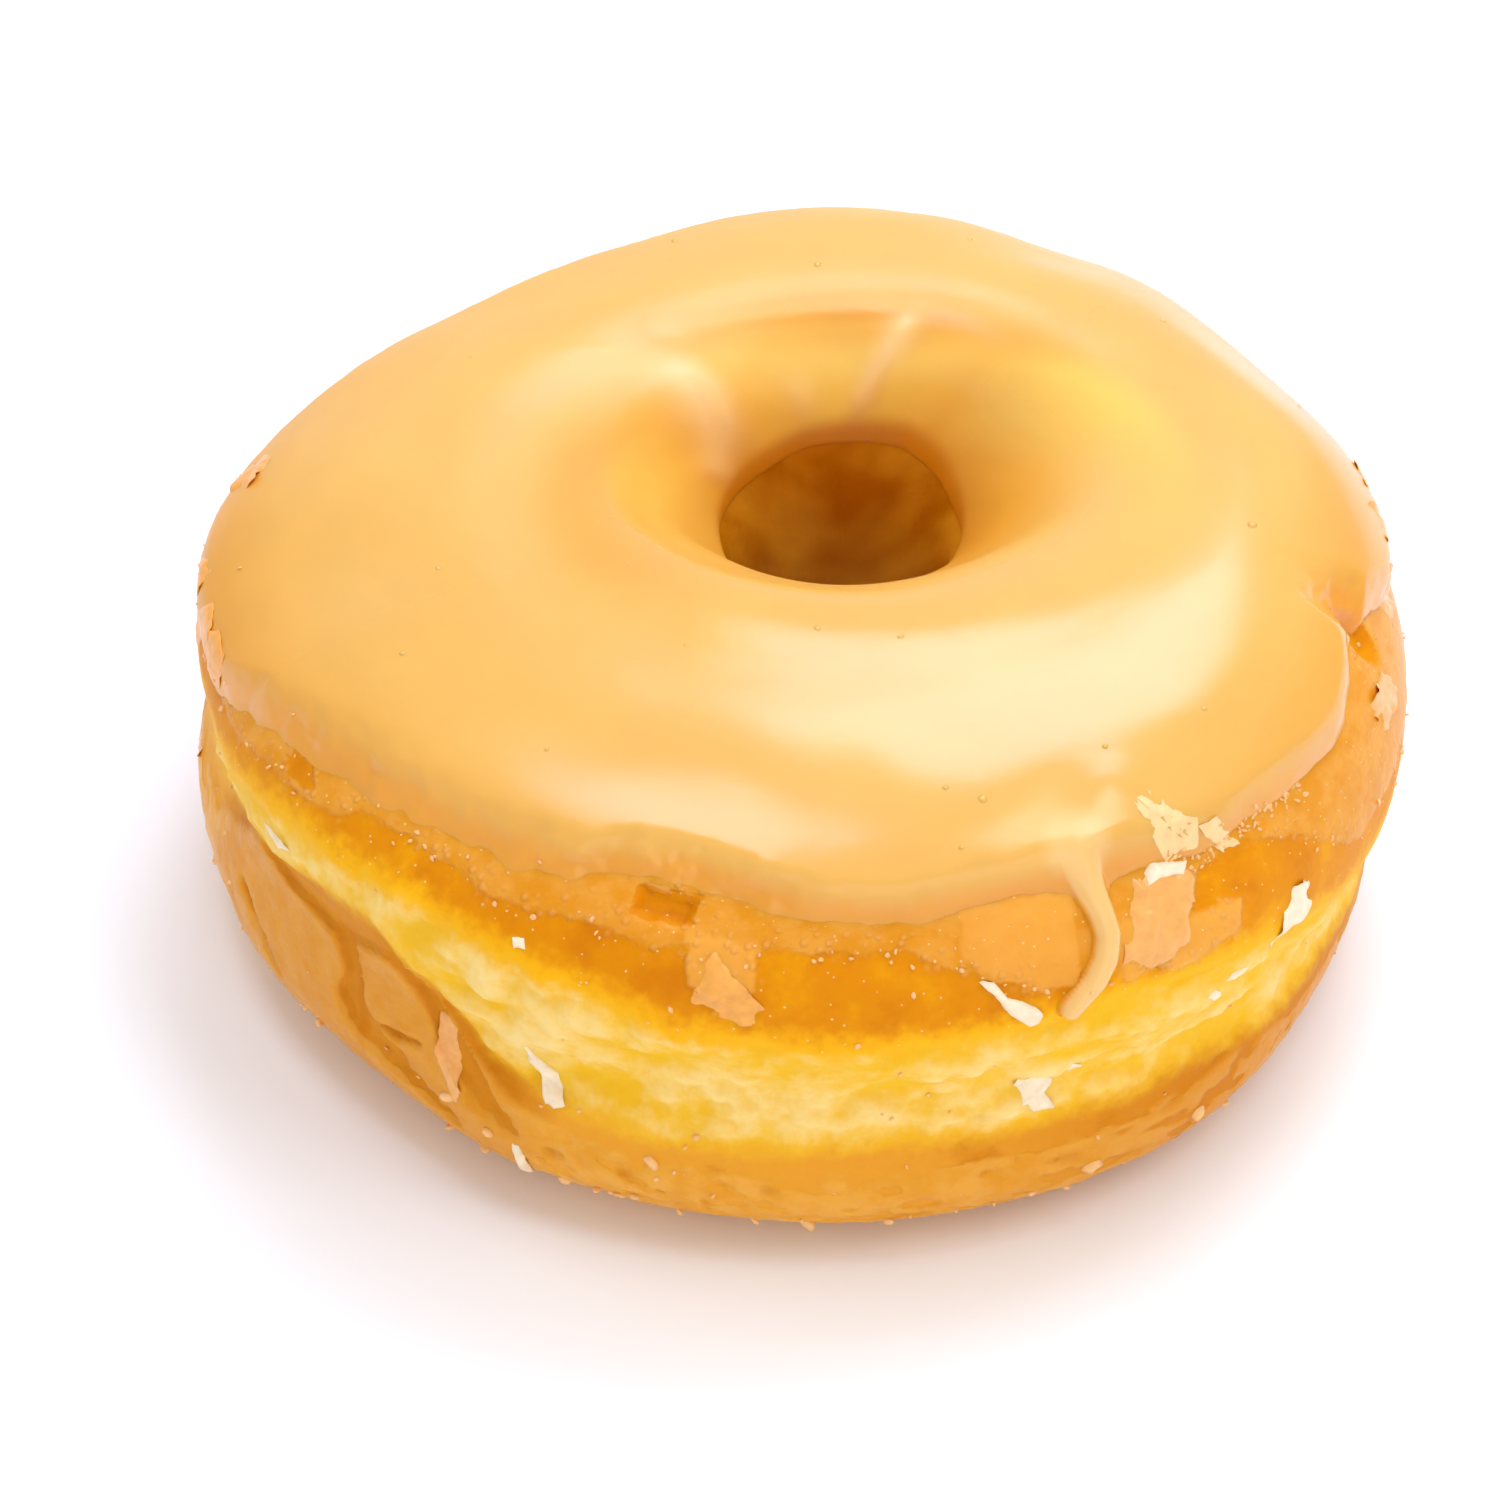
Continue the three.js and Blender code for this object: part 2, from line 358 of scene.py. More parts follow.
@dataclass(frozen=True)
class RingForm:
    """The smooth form of the doughnut, the same as the CAD solid's, in millimetres."""

    widest_radius: float = 47.5
    belt_pinch: float = 1.3
    funnel_fullness: float = 1.85
    dome_fullness: float = 2.1
    underside_fullness: float = 2.7
    inner_underside_fullness: float = 2.2
    shift: tuple[float, float] = (0.0, 0.0)

    def rings(self) -> list[Ring]:
        """The seven rings from the throat over the top and back to the throat."""
        wide = self.widest_radius
        throat = Ring(9.4, 20, 2.6, 8.8)
        return [
            throat,
            Ring(25.4, 38.2, 3.7, -1.2, oval=2, tilt_x=0.8),
            risen_ring(wide, 21.5, 0, 0),
            risen_ring(wide - self.belt_pinch, 16.6, -0.6, 0.1),
            risen_ring(wide - 0.2, 10, -0.8, 0.2),
            Ring(34, 0, 1.5, -0.4),
            Ring(21, 0, 1.8, 2),
            throat,
        ]

    @staticmethod
    def quarter_arc(level: Array, upright: Array, fullness: float, along: Array) -> Array:
        """Superellipse quarter from a level ring to an upright one.

        Args:
            level: Points of the ring where the surface lies level.
            upright: Points of the ring where it stands upright.
            fullness: 2 is a true ellipse, and more is squarer.
            along: Way from the level ring, 0 to 1.

        Returns:
            Points between the two.
        """
        angle = along * math.pi / 2
        out = (np.sin(angle) ** (2 / fullness))[..., None]
        fall = (np.cos(angle) ** (2 / fullness))[..., None]
        flat = level[..., :2] + (upright - level)[..., :2] * out
        return np.concatenate([flat, upright[..., 2:] + (level - upright)[..., 2:] * fall], -1)

    @staticmethod
    def soft_blend(start: Array, end: Array, along: Array) -> Array:
        """Blend of two upright rings, straight in height and eased in radius."""
        eased, even = smooth(along, 0, 1)[..., None], along[..., None]
        flat = start[..., :2] + (end - start)[..., :2] * eased
        return np.concatenate([flat, start[..., 2:] + (end - start)[..., 2:] * even], -1)

    def point(self, azimuth: Array, station: Array) -> Array:
        """Gives points of the surface.

        Args:
            azimuth: Azimuths in radians.
            station: 0 at the throat, 1 crown, 2 widest, 3 belt, 4 bulge, 5 outer foot,
                6 inner foot and 7 the throat again.

        Returns:
            Points in millimetres in the frame of the CAD model.
        """
        azimuth, station = np.broadcast_arrays(azimuth, station)
        ring = [r.point(azimuth) for r in self.rings()]
        index = np.clip(np.floor(station).astype(int), 0, 6)
        t = np.clip(station - index, 0, 1)
        spans = (
            lambda: self.quarter_arc(ring[1], ring[0], self.funnel_fullness, 1 - t),
            lambda: self.quarter_arc(ring[1], ring[2], self.dome_fullness, t),
            lambda: self.soft_blend(ring[2], ring[3], t),
            lambda: self.soft_blend(ring[3], ring[4], t),
            lambda: self.quarter_arc(ring[5], ring[4], self.underside_fullness, 1 - t),
            lambda: ring[5] + (ring[6] - ring[5]) * t[..., None],
            lambda: self.quarter_arc(ring[6], ring[7], self.inner_underside_fullness, t),
        )
        made = np.zeros((*azimuth.shape, 3))
        for number, span in enumerate(spans):
            here = index == number
            made[here] = span()[here]
        made[..., 0] += self.shift[0]
        made[..., 1] += self.shift[1]
        return made

    def normal(self, azimuth: Array, station: Array, probe: float = 0.01) -> Array:
        """Outward unit normals at the same places as point()."""
        around = self.point(azimuth + probe, station) - self.point(azimuth - probe, station)
        low, high = np.maximum(station - probe, 0), np.minimum(station + probe, 7)
        over = self.point(azimuth, high) - self.point(azimuth, low)
        normal = np.cross(over, around)
        return normal / (np.linalg.norm(normal, axis=-1, keepdims=True) + 1e-12)


@dataclass
class SurfaceGauge:
    """Measures the way along the surface, so that things can be placed in millimetres."""

    form: RingForm
    rows: int = 720
    columns: int = 1400
    crown_softness: float = 3.0
    lowest: float = -32.0
    highest: float = 108.0
    downs: Array = field(init=False)
    down_table: Array = field(init=False)
    station_table: Array = field(init=False)

    def __post_init__(self) -> None:
        """Measures every row once, both ways round."""
        azimuth = np.linspace(-math.pi, math.pi, self.rows, endpoint=False)
        station = np.linspace(0, 7, self.columns + 1)
        grid = self.form.point(azimuth[:, None], station[None, :])
        step = np.linalg.norm(np.diff(grid, axis=1), axis=-1)
        way = np.concatenate([np.zeros((self.rows, 1)), np.cumsum(step, axis=1)], axis=1)
        crown = self.columns // 7
        self.down_table = way - way[:, crown : crown + 1]
        self.downs = np.linspace(self.lowest, self.highest, 701)
        self.station_table = np.array(
            [np.interp(self.downs, row, station) for row in self.down_table]
        )

    def _read(self, table: Array, azimuth: Array, column: Array) -> Array:
        """Reads a table between its rows and columns, the rows going round."""
        row = (azimuth + math.pi) / (2 * math.pi) * self.rows
        row_floor, column_floor = np.floor(row).astype(int), np.floor(column).astype(int)
        column_floor = np.clip(column_floor, 0, table.shape[1] - 2)
        a, b = row - row_floor, np.clip(column - column_floor, 0, 1)
        near, far = row_floor % self.rows, (row_floor + 1) % self.rows
        start = table[near, column_floor] * (1 - a) + table[far, column_floor] * a
        end = table[near, column_floor + 1] * (1 - a) + table[far, column_floor + 1] * a
        return start * (1 - b) + end * b

    def down_at(self, azimuth: Array, station: Array) -> Array:
        """Way down from the crown, in millimetres, of places given by station."""
        azimuth, station = np.broadcast_arrays(azimuth, station)
        return self._read(self.down_table, azimuth, station / 7 * self.columns)

    def station_at(self, azimuth: Array, down: Array) -> Array:
        """Station of places given by their way down from the crown."""
        azimuth, down = np.broadcast_arrays(azimuth, down)
        step = self.downs[1] - self.downs[0]
        return self._read(self.station_table, azimuth, (down - self.lowest) / step)

    def hole_down_at(self, azimuth: Array, height: Array) -> Array:
        """Way into the hole at which its wall comes down to a height.

        Args:
            azimuth: Azimuths in radians.
            height: Heights in millimetres, between the throat's and the crown's.

        Returns:
            The way down from the crown, negative into the hole.
        """
        throat, crown = (ring.point(azimuth)[..., 2] for ring in self.form.rings()[:2])
        fall = np.clip((height - throat) / (crown - throat), 0, 1)
        way = np.arccos(fall ** (self.form.funnel_fullness / 2)) * 2 / math.pi
        return self.down_at(azimuth, 1 - way)

    def place(self, azimuth: Array, down: Array, lift: float | Array) -> Array:
        """Points a little off the form, its crown softened, with the dents of its cooling.

        Args:
            azimuth: Azimuths in radians.
            down: Way down from the crown in millimetres.
            lift: Millimetres off the form.

        Returns:
            Points in millimetres.
        """
        azimuth, down = np.broadcast_arrays(azimuth, down)
        dents = sum(dent.height * fade(azimuth, dent.towards, dent.spread) for dent in DENTS)
        shoulder = smooth(down, 2, 12) * (1 - smooth(down, 32, 44))
        out = (lift + dents * shoulder)[..., None]
        reach = self.crown_softness * (1 - smooth(np.abs(down), 3, 10))
        total = 0.0
        for step, weight in ((-1, 1), (-0.5, 4), (0, 6), (0.5, 4), (1, 1)):
            station = self.station_at(azimuth, down + step * reach)
            normal = self.form.normal(azimuth, station)
            total = total + weight / 16 * (self.form.point(azimuth, station) + normal * out)
        return total


# ------------------------------------------------------------------------ mesh making


def mesh_object(name: str, points: Array, faces: list | Array) -> bpy.types.Object:
    """Makes a smooth-shaded mesh that rides on the doughnut.

    Args:
        name: Name of the piece.
        points: Corner points in millimetres.
        faces: Corner numbers of each face.

    Returns:
        The new object.
    """
    mesh = bpy.data.meshes.new(name)
    mesh.from_pydata((points.reshape(-1, 3) * METRES).tolist(), [], np.asarray(faces).tolist())
    mesh.polygons.foreach_set("use_smooth", [True] * len(mesh.polygons))
    mesh.update()
    made = bpy.data.objects.new(name, mesh)
    bpy.context.scene.collection.objects.link(made)
    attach(made, BODY)
    return made


def ring_faces(rows: int, columns: int) -> Array:
    """Faces of a grid of points that closes both round the hole and round its section.

    Args:
        rows: Number of sections round the hole.
        columns: Number of points in each section.

    Returns:
        Four corner numbers a face, facing out.
    """
    row, column = np.meshgrid(np.arange(rows), np.arange(columns), indexing="ij")
    next_row, next_column = (row + 1) % rows, (column + 1) % columns
    corners = [(row, column), (row, next_column), (next_row, next_column), (next_row, column)]
    return np.stack([r * columns + c for r, c in corners], axis=-1).reshape(-1, 4)


def merge_points(piece: bpy.types.Object) -> None:
    """Joins corner points within a micrometre, such as those in the middle of a leaf."""
    shape = bmesh.new()
    shape.from_mesh(piece.data)
    bmesh.ops.remove_doubles(shape, verts=shape.verts, dist=0.001 * METRES)
    shape.to_mesh(piece.data)
    shape.free()


def paint_numbers(piece: bpy.types.Object, **values: Array) -> None:
    """Keeps one number, or one vector, at each corner point for the material to read.

    Args:
        piece: The mesh object.
        values: An array for each named attribute, with a last axis of 3 for vectors.
    """
    count = len(piece.data.vertices)
    for name, value in values.items():
        flat = np.ascontiguousarray(value, np.float32).ravel()
        kind, key = ("FLOAT", "value") if flat.size == count else ("FLOAT_VECTOR", "vector")
        piece.data.attributes.new(name, kind, "POINT").data.foreach_set(key, flat)


# -------------------------------------------------------------------------- materials


def add_node(
    tree: bpy.types.NodeTree, kind: str, inputs: dict | None = None, **settings: object
) -> bpy.types.Node:
    """Adds a node with its settings and links.

    Args:
        tree: The node tree that it joins.
        kind: Its type, without the ShaderNode in front.
        inputs: A value, an output that is linked, or a node whose first output in use is
            linked, for each input by name or number.
        settings: What is set on the node itself.

    Returns:
        The new node.
    """
    made = tree.nodes.new("ShaderNode" + kind)
    for name, value in settings.items():
        setattr(made, name, value)
    for key, value in (inputs or {}).items():
        if isinstance(value, bpy.types.Node):
            value = next(output for output in value.outputs if output.enabled)
        if isinstance(value, bpy.types.NodeSocket):
            tree.links.new(value, made.inputs[key])
        else:
            made.inputs[key].default_value = value
    return made


# Inputs of a mix node: the share of the second, the two numbers and the two colours.
SHARE, NUMBER, OTHER_NUMBER, UNDER, OVER = 0, 2, 3, 6, 7


def clouded(
    tree: bpy.types.NodeTree,
    colour: bpy.types.Node | Colour,
    cloud: bpy.types.Node,
    shades: tuple[float, float],
) -> bpy.types.Node:
    """Makes a colour a little darker and lighter in clouds.

    Args:
        tree: The node tree.
        colour: The colour.
        cloud: The noise that gives the clouds.
        shades: What the colour is multiplied by in the darkest and lightest parts.

    Returns:
        The node that gives the clouded colour.
    """
    inputs = {"Value": cloud, "From Min": 0.3, "From Max": 0.7}
    inputs.update({"To Min": shades[0], "To Max": shades[1]})
    shade = add_node(tree, "MapRange", inputs)
    inputs = {SHARE: 1.0, UNDER: colour, OVER: shade}
    return add_node(tree, "Mix", inputs, data_type="RGBA", blend_type="MULTIPLY")


def new_material(name: str) -> tuple[bpy.types.Material, bpy.types.NodeTree]:
    """Starts an empty node material.

    Args:
        name: Name of the material.

    Returns:
        The material and its node tree.
    """
    material = bpy.data.materials.new(name)
    material.use_nodes = True
    material.node_tree.nodes.clear()
    return material, material.node_tree


class Tone(Enum):
    """Colours of the doughnut, as sRGB hex."""

    CRUST_DARK = "#d87e00"
    CRUST = "#e28c00"
    CRUST_LIGHT = "#eb9c00"
    TURNING = "#fbb60f"
    BELT_VALLEY = "#f4bd22"
    BELT_LUMP = "#fbd88a"
    LOWER_CRUST = "#eba02a"
    LOWER_DEEP = "#d07c00"
    FILM = "#e29420"
    FILM_PALE = "#eaa23e"
    FILM_SHEET = "#f6b050"
    FILM_LOWER = "#e69d28"
    FILM_LOWER_PALE = "#edab42"
    HOLE_CRUST = "#f8ba2c"
    HOLE_DEEP = "#c98000"
    # Painted shade on the hole's wall close under the icing.
    HOLE_SHADE = "#b86200"
    # Painted lit top of the icing, and the painted shade of its slopes under it.
    ICING = "#e9b050"
    ICING_SHADED_SLOPE = "#e59d26"
    ICING_THIN = "#eb9d2a"
    # Painted light on the icing in the hole.
    ICING_HOLE_LIGHT = "#f9cf5e"
    # Painted highlight on the icing's folds and drip.
    ICING_RIDGE_HIGHLIGHT = "#f9ce88"
    HOLE_RIM = "#eca408"
    SHEET = "#f3a644"
    SKIN = "#f2ab58"
    WISP = "#f9cd8c"
    CRUMB = "#f5bd78"
    FLAKE = "#f8e2c0"
    SPECK = "#ffe2a8"

    @property
    def linear(self) -> Colour:
        """The colour as linear values."""
        return hex_colour(self.value)


PAINTED_ON_DOUGH = (
    "belt_top", "belt_foot", "film", "plate", "lump", "depth", "amber_and_hole_shade", "sheet",
)


@dataclass(frozen=True)
class FriedYeastDough:
    """Yeast dough proofed and deep fried: it gives a satin, slightly greasy golden crust.

    The belt that stayed above the oil keeps the pale crumb colour.  A thin sugar glaze
    lies on the crust, peach where it is whole, and shows the deep crust in its cracks.
    """

    crust_roughness: float = 0.5
    film_roughness: float = 0.3
    gloss: float = 0.1
    index_of_refraction: float = 1.45
    mottle_mm: float = 4.5
    grain_mm: float = 0.45
    ragged_mm: float = 1.3
    speck_mm: float = 0.9
    cloud_mm: float = 2.4
    blister_mm: float = 1.0
    crumb_mm: float = 1.1
    hollow_mm: float = 7.0
    relief_mm: float = 0.25

    def build(self) -> bpy.types.Material:
        """Makes the node material that reads the dough's painted numbers."""
        material, tree = new_material("fried_yeast_dough")
        place = add_node(tree, "Attribute", attribute_name="place").outputs["Vector"]
        number = {
            name: add_node(tree, "Attribute", attribute_name=name).outputs["Fac"]
            for name in PAINTED_ON_DOUGH
        }

        # Noises of a real size, each with its detail and how far away it is read.
        for name, size_mm, detail, away in (
            ("ragged", self.ragged_mm, 3, 3),
            ("mottle", self.mottle_mm, 4, 11),
            ("grain", self.grain_mm, 2, 23),
            ("cloud", self.cloud_mm, 4, 31),
            ("crumb", self.crumb_mm, 3, 41),
            ("hollow", self.hollow_mm, 1, 51),
        ):
            moved = add_node(tree, "VectorMath", {0: place, 1: (away,) * 3}, operation="ADD")
            inputs = {"Vector": moved, "Scale": 1 / size_mm, "Detail": detail, "Roughness": 0.55}
            number[name] = add_node(tree, "TexNoise", inputs)
        for name, size_mm in (("blister", self.blister_mm), ("speck", self.speck_mm)):
            number[name] = add_node(tree, "TexVoronoi", {"Vector": place, "Scale": 1 / size_mm})

        # One number times the next, and a third added: every border wanders by its own amount.
        for name, one, times, plus in (
            ("wander", "ragged", 3.2, -1.6),
            ("crumb", "crumb", 0.7, -0.35),
            ("foot", "wander", 0.6, "belt_foot"),
            ("lump", "wander", 0.12, "lump"),
            ("lump", "crumb", 1.0, "lump"),
            ("top", "wander", 1.0, "belt_top"),
            ("film", "wander", 0.4, "film"),
            ("plate", "wander", 0.15, "plate"),
        ):
            inputs = {0: number[one], 1: times, 2: number.get(plus, plus)}
            number[name] = add_node(tree, "Math", inputs, operation="MULTIPLY_ADD")

        # Each number eased from 0 at the first value to 1 at the second.
        for name, eased, start, end in (
            ("crust", "mottle", 0.3, 0.5),
            ("light_crust", "mottle", 0.5, 0.7),
            ("lower_crust", "mottle", 0.25, 0.5),
            ("lumps", "lump", 0.0, 0.9),
            ("turning", "top", -2.2, 0.4),
            ("belt", "top", 0.0, 2.4),
            ("belt_relief", "top", 0.0, 2.0),
            ("below", "foot", 1.0, -1.6),
            ("upper_film", "film", -0.1, 0.4),
            ("lower_film", "plate", -0.05, 0.4),
            ("clouds", "cloud", 0.35, 0.65),
            ("rim", "film", -0.9, 0.2),
            ("rim_inside", "film", 3.2, 0.6),
            ("blister", "blister", 0.42, 0.12),
            ("hollows", "hollow", 0.3, 0.7),
            ("speck", "speck", 0.12, 0.07),
            ("bare", "top", 1.5, -1.0),
        ):
            inputs = {"Value": number[eased], "From Min": start, "From Max": end}
            number[name] = add_node(tree, "MapRange", inputs, interpolation_type="SMOOTHSTEP")

        # Where two shares meet, and how strong the veils and shades are.
        for name, one, operation, other in (
            ("whole_film", "upper_film", "MAXIMUM", "lower_film"),
            ("rim", "rim", "MULTIPLY", "rim_inside"),
            ("blister", "blister", "MULTIPLY", "rim"),
            ("pale_blister", "blister", "MULTIPLY", 0.45),
            ("sheet", "sheet", "MULTIPLY", 0.6),
            ("upper_veil", "upper_film", "MULTIPLY", 0.82),
            ("lower_veil", "lower_film", "MULTIPLY", 0.85),
            ("amber_veil", "amber_and_hole_shade", "MULTIPLY", 0.5),
            ("hole_shade", "amber_and_hole_shade", "MULTIPLY", 0.45),
            ("bare", "bare", "SUBTRACT", "depth"),
            ("bare", "bare", "MULTIPLY", 0.6),
            ("speck", "speck", "MULTIPLY", "bare"),
        ):
            inputs = {0: number[one], 1: number.get(other, other)}
            number[name] = add_node(tree, "Math", inputs, operation=operation)

        # What gives way to what, and by which share.
        colour = {}
        for name, share, under, over in (
            # Deep golden crust, lighter where the dough stretched.
            ("skin", "crust", Tone.CRUST_DARK, Tone.CRUST),
            ("skin", "light_crust", "skin", Tone.CRUST_LIGHT),
            # The lower crust lies in thicker glaze and is tanner.
            ("lower", "lower_crust", Tone.LOWER_DEEP, Tone.LOWER_CRUST),
            ("lower", "amber_and_hole_shade", "lower", Tone.LOWER_DEEP),
            # Pale belt of lumps with yellow valleys between them.
            ("belt", "lumps", Tone.BELT_VALLEY, Tone.BELT_LUMP),
            # Crust gives way to the belt over a saturated golden yellow.
            ("skin", "turning", "skin", Tone.TURNING),
            ("skin", "belt", "skin", "belt"),
            ("skin", "below", "skin", "lower"),
            # Whole glaze is peach and its cracks show the crust.
            ("veil", "clouds", Tone.FILM, Tone.FILM_PALE),
            ("veil", "sheet", "veil", Tone.FILM_SHEET),
            ("skin", "upper_veil", "skin", "veil"),
            ("veil", "clouds", Tone.FILM_LOWER, Tone.FILM_LOWER_PALE),
            ("veil", "amber_veil", "veil", Tone.LOWER_DEEP),
            ("skin", "lower_veil", "skin", "veil"),
            # Blisters of glaze gather along its torn edge.
            ("skin", "pale_blister", "skin", Tone.SKIN),
            # Inside the hole the crust is bare and browner in hollows, with painted shade close
            # under the icing.
            ("wall", "hollows", Tone.HOLE_DEEP, Tone.HOLE_CRUST),
            ("wall", "hole_shade", "wall", Tone.HOLE_SHADE),
            ("skin", "depth", "skin", "wall"),
            # Pinpricks of sugar on the bare crust.
            ("skin", "speck", "skin", Tone.SPECK),
        ):
            under, over = (colour[c] if c in colour else c.linear for c in (under, over))
            inputs = {SHARE: number[share], UNDER: under, OVER: over}
            colour[name] = add_node(tree, "Mix", inputs, data_type="RGBA")

        inputs = {NUMBER: self.crust_roughness, OTHER_NUMBER: self.film_roughness}
        inputs[SHARE] = number["whole_film"]
        rough = add_node(tree, "Mix", inputs, data_type="FLOAT")

        # Fine relief, each kind by its own share of the bump's height.
        height = 0.0
        for relief, amount in (
            ("grain", 0.25),
            ("ragged", 0.5),
            ("whole_film", 0.6),
            ("belt_relief", "crumb"),
            ("blister", 0.8),
        ):
            inputs = {0: number[relief], 1: number.get(amount, amount), 2: height}
            height = add_node(tree, "Math", inputs, operation="MULTIPLY_ADD")
        inputs = {"Strength": 0.7, "Distance": self.relief_mm * METRES, "Height": height}
        bump = add_node(tree, "Bump", inputs)
        shader = add_node(
            tree,
            "BsdfPrincipled",
            {
                "Base Color": colour["skin"],
                "Roughness": rough,
                "IOR": self.index_of_refraction,
                "Specular IOR Level": self.gloss,
                "Subsurface Weight": 0.35,
                "Subsurface Scale": 1.2 * METRES,
                "Subsurface Radius": (1.0, 0.55, 0.18),
                "Normal": bump.outputs["Normal"],
            },
        )
        add_node(tree, "OutputMaterial", {"Surface": shader.outputs[0]})
        return material


@dataclass(frozen=True)
class MapleFondant:
    """Maple-flavoured sugar icing poured warm and set: opaque, smooth and softly glossy."""

    roughness: float = 0.17
    dull_roughness: float = 0.42
    index_of_refraction: float = 1.58
    thin_mm: float = 0.3
    full_mm: float = 1.3
    cloud_mm: float = 9.0
    skin_mm: float = 1.6
    relief_mm: float = 0.12

    def build(self) -> bpy.types.Material:
        """Makes the node material that reads how deep and dull the icing lies, and where its light
        and shade are painted.
        """
        material, tree = new_material("maple_fondant")
        place = add_node(tree, "Attribute", attribute_name="place").outputs["Vector"]
        share = {
            name: add_node(tree, "Attribute", attribute_name=name).outputs["Fac"]
            for name in ("depth", "level", "hollow", "ridge", "seep", "dull")
        }
        inputs = {"Value": share["depth"], "From Min": self.full_mm, "From Max": self.thin_mm}
        share["thin"] = add_node(tree, "MapRange", inputs, interpolation_type="SMOOTHSTEP")
        # The base is the painted shade of the slopes; the painted lit top, painted light in the
        # hole and painted highlight go over it, then thin icing and the hole's rim.
        colour = Tone.ICING_SHADED_SLOPE.linear
        for name, tone in (
            ("level", Tone.ICING),
            ("hollow", Tone.ICING_HOLE_LIGHT),
            ("ridge", Tone.ICING_RIDGE_HIGHLIGHT),
            ("thin", Tone.ICING_THIN),
            ("seep", Tone.HOLE_RIM),
        ):
            inputs = {SHARE: share[name], UNDER: colour, OVER: tone.linear}
            colour = add_node(tree, "Mix", inputs, data_type="RGBA")
        inputs = {"Vector": place, "Scale": 1 / self.cloud_mm, "Detail": 3}
        colour = clouded(tree, colour, add_node(tree, "TexNoise", inputs), (0.96, 1.03))
        inputs = {SHARE: share["dull"], NUMBER: self.roughness, OTHER_NUMBER: self.dull_roughness}
        rough = add_node(tree, "Mix", inputs, data_type="FLOAT")
        inputs = {"Vector": place, "Scale": 1 / self.skin_mm, "Detail": 2}
        skin = add_node(tree, "TexNoise", inputs)
        inputs = {"Strength": 0.12, "Distance": self.relief_mm * METRES, "Height": skin}
        bump = add_node(tree, "Bump", inputs)
        shader = add_node(
            tree,
            "BsdfPrincipled",
            {
                "Base Color": colour,
                "Roughness": rough,
                "IOR": self.index_of_refraction,
                "Subsurface Weight": 0.3,
                "Subsurface Scale": 1.5 * METRES,
                "Subsurface Radius": (1.0, 0.6, 0.25),
                "Normal": bump.outputs["Normal"],
            },
        )
        add_node(tree, "OutputMaterial", {"Surface": shader.outputs[0]})
        return material


@dataclass(frozen=True)
class DriedGlaze:
    """Sugar glaze dried to a brittle skin: milky peach or white, with a satin sheen."""

    name: str
    tone: Tone
    roughness: float = 0.3
    index_of_refraction: float = 1.5
    cloud_mm: float = 0.8
    relief_mm: float = 0.15

    def build(self) -> bpy.types.Material:
        """Makes the node material."""
        material, tree = new_material(self.name)
        coordinates = add_node(tree, "TexCoord").outputs["Object"]
        inputs = {"Vector": coordinates, "Scale": 1 / (self.cloud_mm * METRES), "Detail": 3}
        cloud = add_node(tree, "TexNoise", inputs)
        inputs = {"Strength": 0.4, "Distance": self.relief_mm * METRES, "Height": cloud}
        bump = add_node(tree, "Bump", inputs)
        shader = add_node(
            tree,
            "BsdfPrincipled",
            {
                "Base Color": clouded(tree, self.tone.linear, cloud, (0.92, 1.08)),
                "Roughness": self.roughness,
                "IOR": self.index_of_refraction,
                "Normal": bump,
            },
        )
        add_node(tree, "OutputMaterial", {"Surface": shader.outputs[0]})
        return material


@dataclass(frozen=True)
class PaleBoard:
    """Matt white studio board: it only gives a clean ground and a soft shadow."""

    tone: str = "#fbfbfa"

    def build(self) -> bpy.types.Material:
        """Makes the node material."""
        material, tree = new_material("pale_board")
        shader = add_node(
            tree, "BsdfPrincipled", {"Base Color": hex_colour(self.tone), "Roughness": 0.8}
        )
        add_node(tree, "OutputMaterial", {"Surface": shader.outputs[0]})
        return material


# ---------------------------------------------------------------------------- the dough


@dataclass(frozen=True)
class Band:
    """A narrow band along a path of azimuth in degrees, down and half width in mm."""

    path: tuple[tuple[float, float, float], ...]

    def inside(self, azimuth: Array, down: Array) -> Array:
        """Millimetres inside the band, negative outside it.

        Args:
            azimuth: Azimuths in radians.
            down: Way down from the crown.

        Returns:
            Signed distance at each place.
        """
        best = np.full(np.broadcast(azimuth, down).shape, -99.0)
        for (a0, d0, w0), (a1, d1, w1) in itertools.pairwise(self.path):
            x = degrees_from(azimuth, a0) * MM_PER_DEGREE
            way, away = beside_line(x, down - d0, (a1 - a0) * MM_PER_DEGREE, d1 - d0)
            best = np.maximum(best, w0 + (w1 - w0) * way - away)
        return best

    def share(self, azimuth: Array, down: Array) -> Array:
        """Share of the way in from its border, 0 there and outside, and 1 along its middle."""
        narrow = min(width for _, _, width in self.path)
        wide = Band(tuple((a, d, 0.0) for a, d, _ in self.path)).inside(azimuth, down)
        inside = self.inside(azimuth, down)
        half_width = np.maximum(inside - wide, narrow)
        return np.clip(inside / half_width, 0, 1)


@dataclass(frozen=True)
class Patch:
    """A torn area: where its middle lies, and its corners round that in mm."""

    azimuth: float
    down: float
    corners: tuple[tuple[float, float], ...]

    def inside(self, azimuth: Array, down: Array) -> Array:
        """Millimetres inside the area, negative outside it."""
        x = degrees_from(azimuth, self.azimuth) * MM_PER_DEGREE
        y = down - self.down
        away = np.full(x.shape, 99.0)
        odd = np.zeros(x.shape, bool)
        for (x0, y0), (x1, y1) in itertools.pairwise(self.corners + self.corners[:1]):
            step_x, step_y = x1 - x0, y1 - y0
            away = np.minimum(away, beside_line(x - x0, y - y0, step_x, step_y)[1])
            crosses = (y0 > y) != (y1 > y)
            odd ^= crosses & (x < x0 + step_x * (y - y0) / (step_y if step_y else 1e-9))
        return np.where(odd, away, -away)


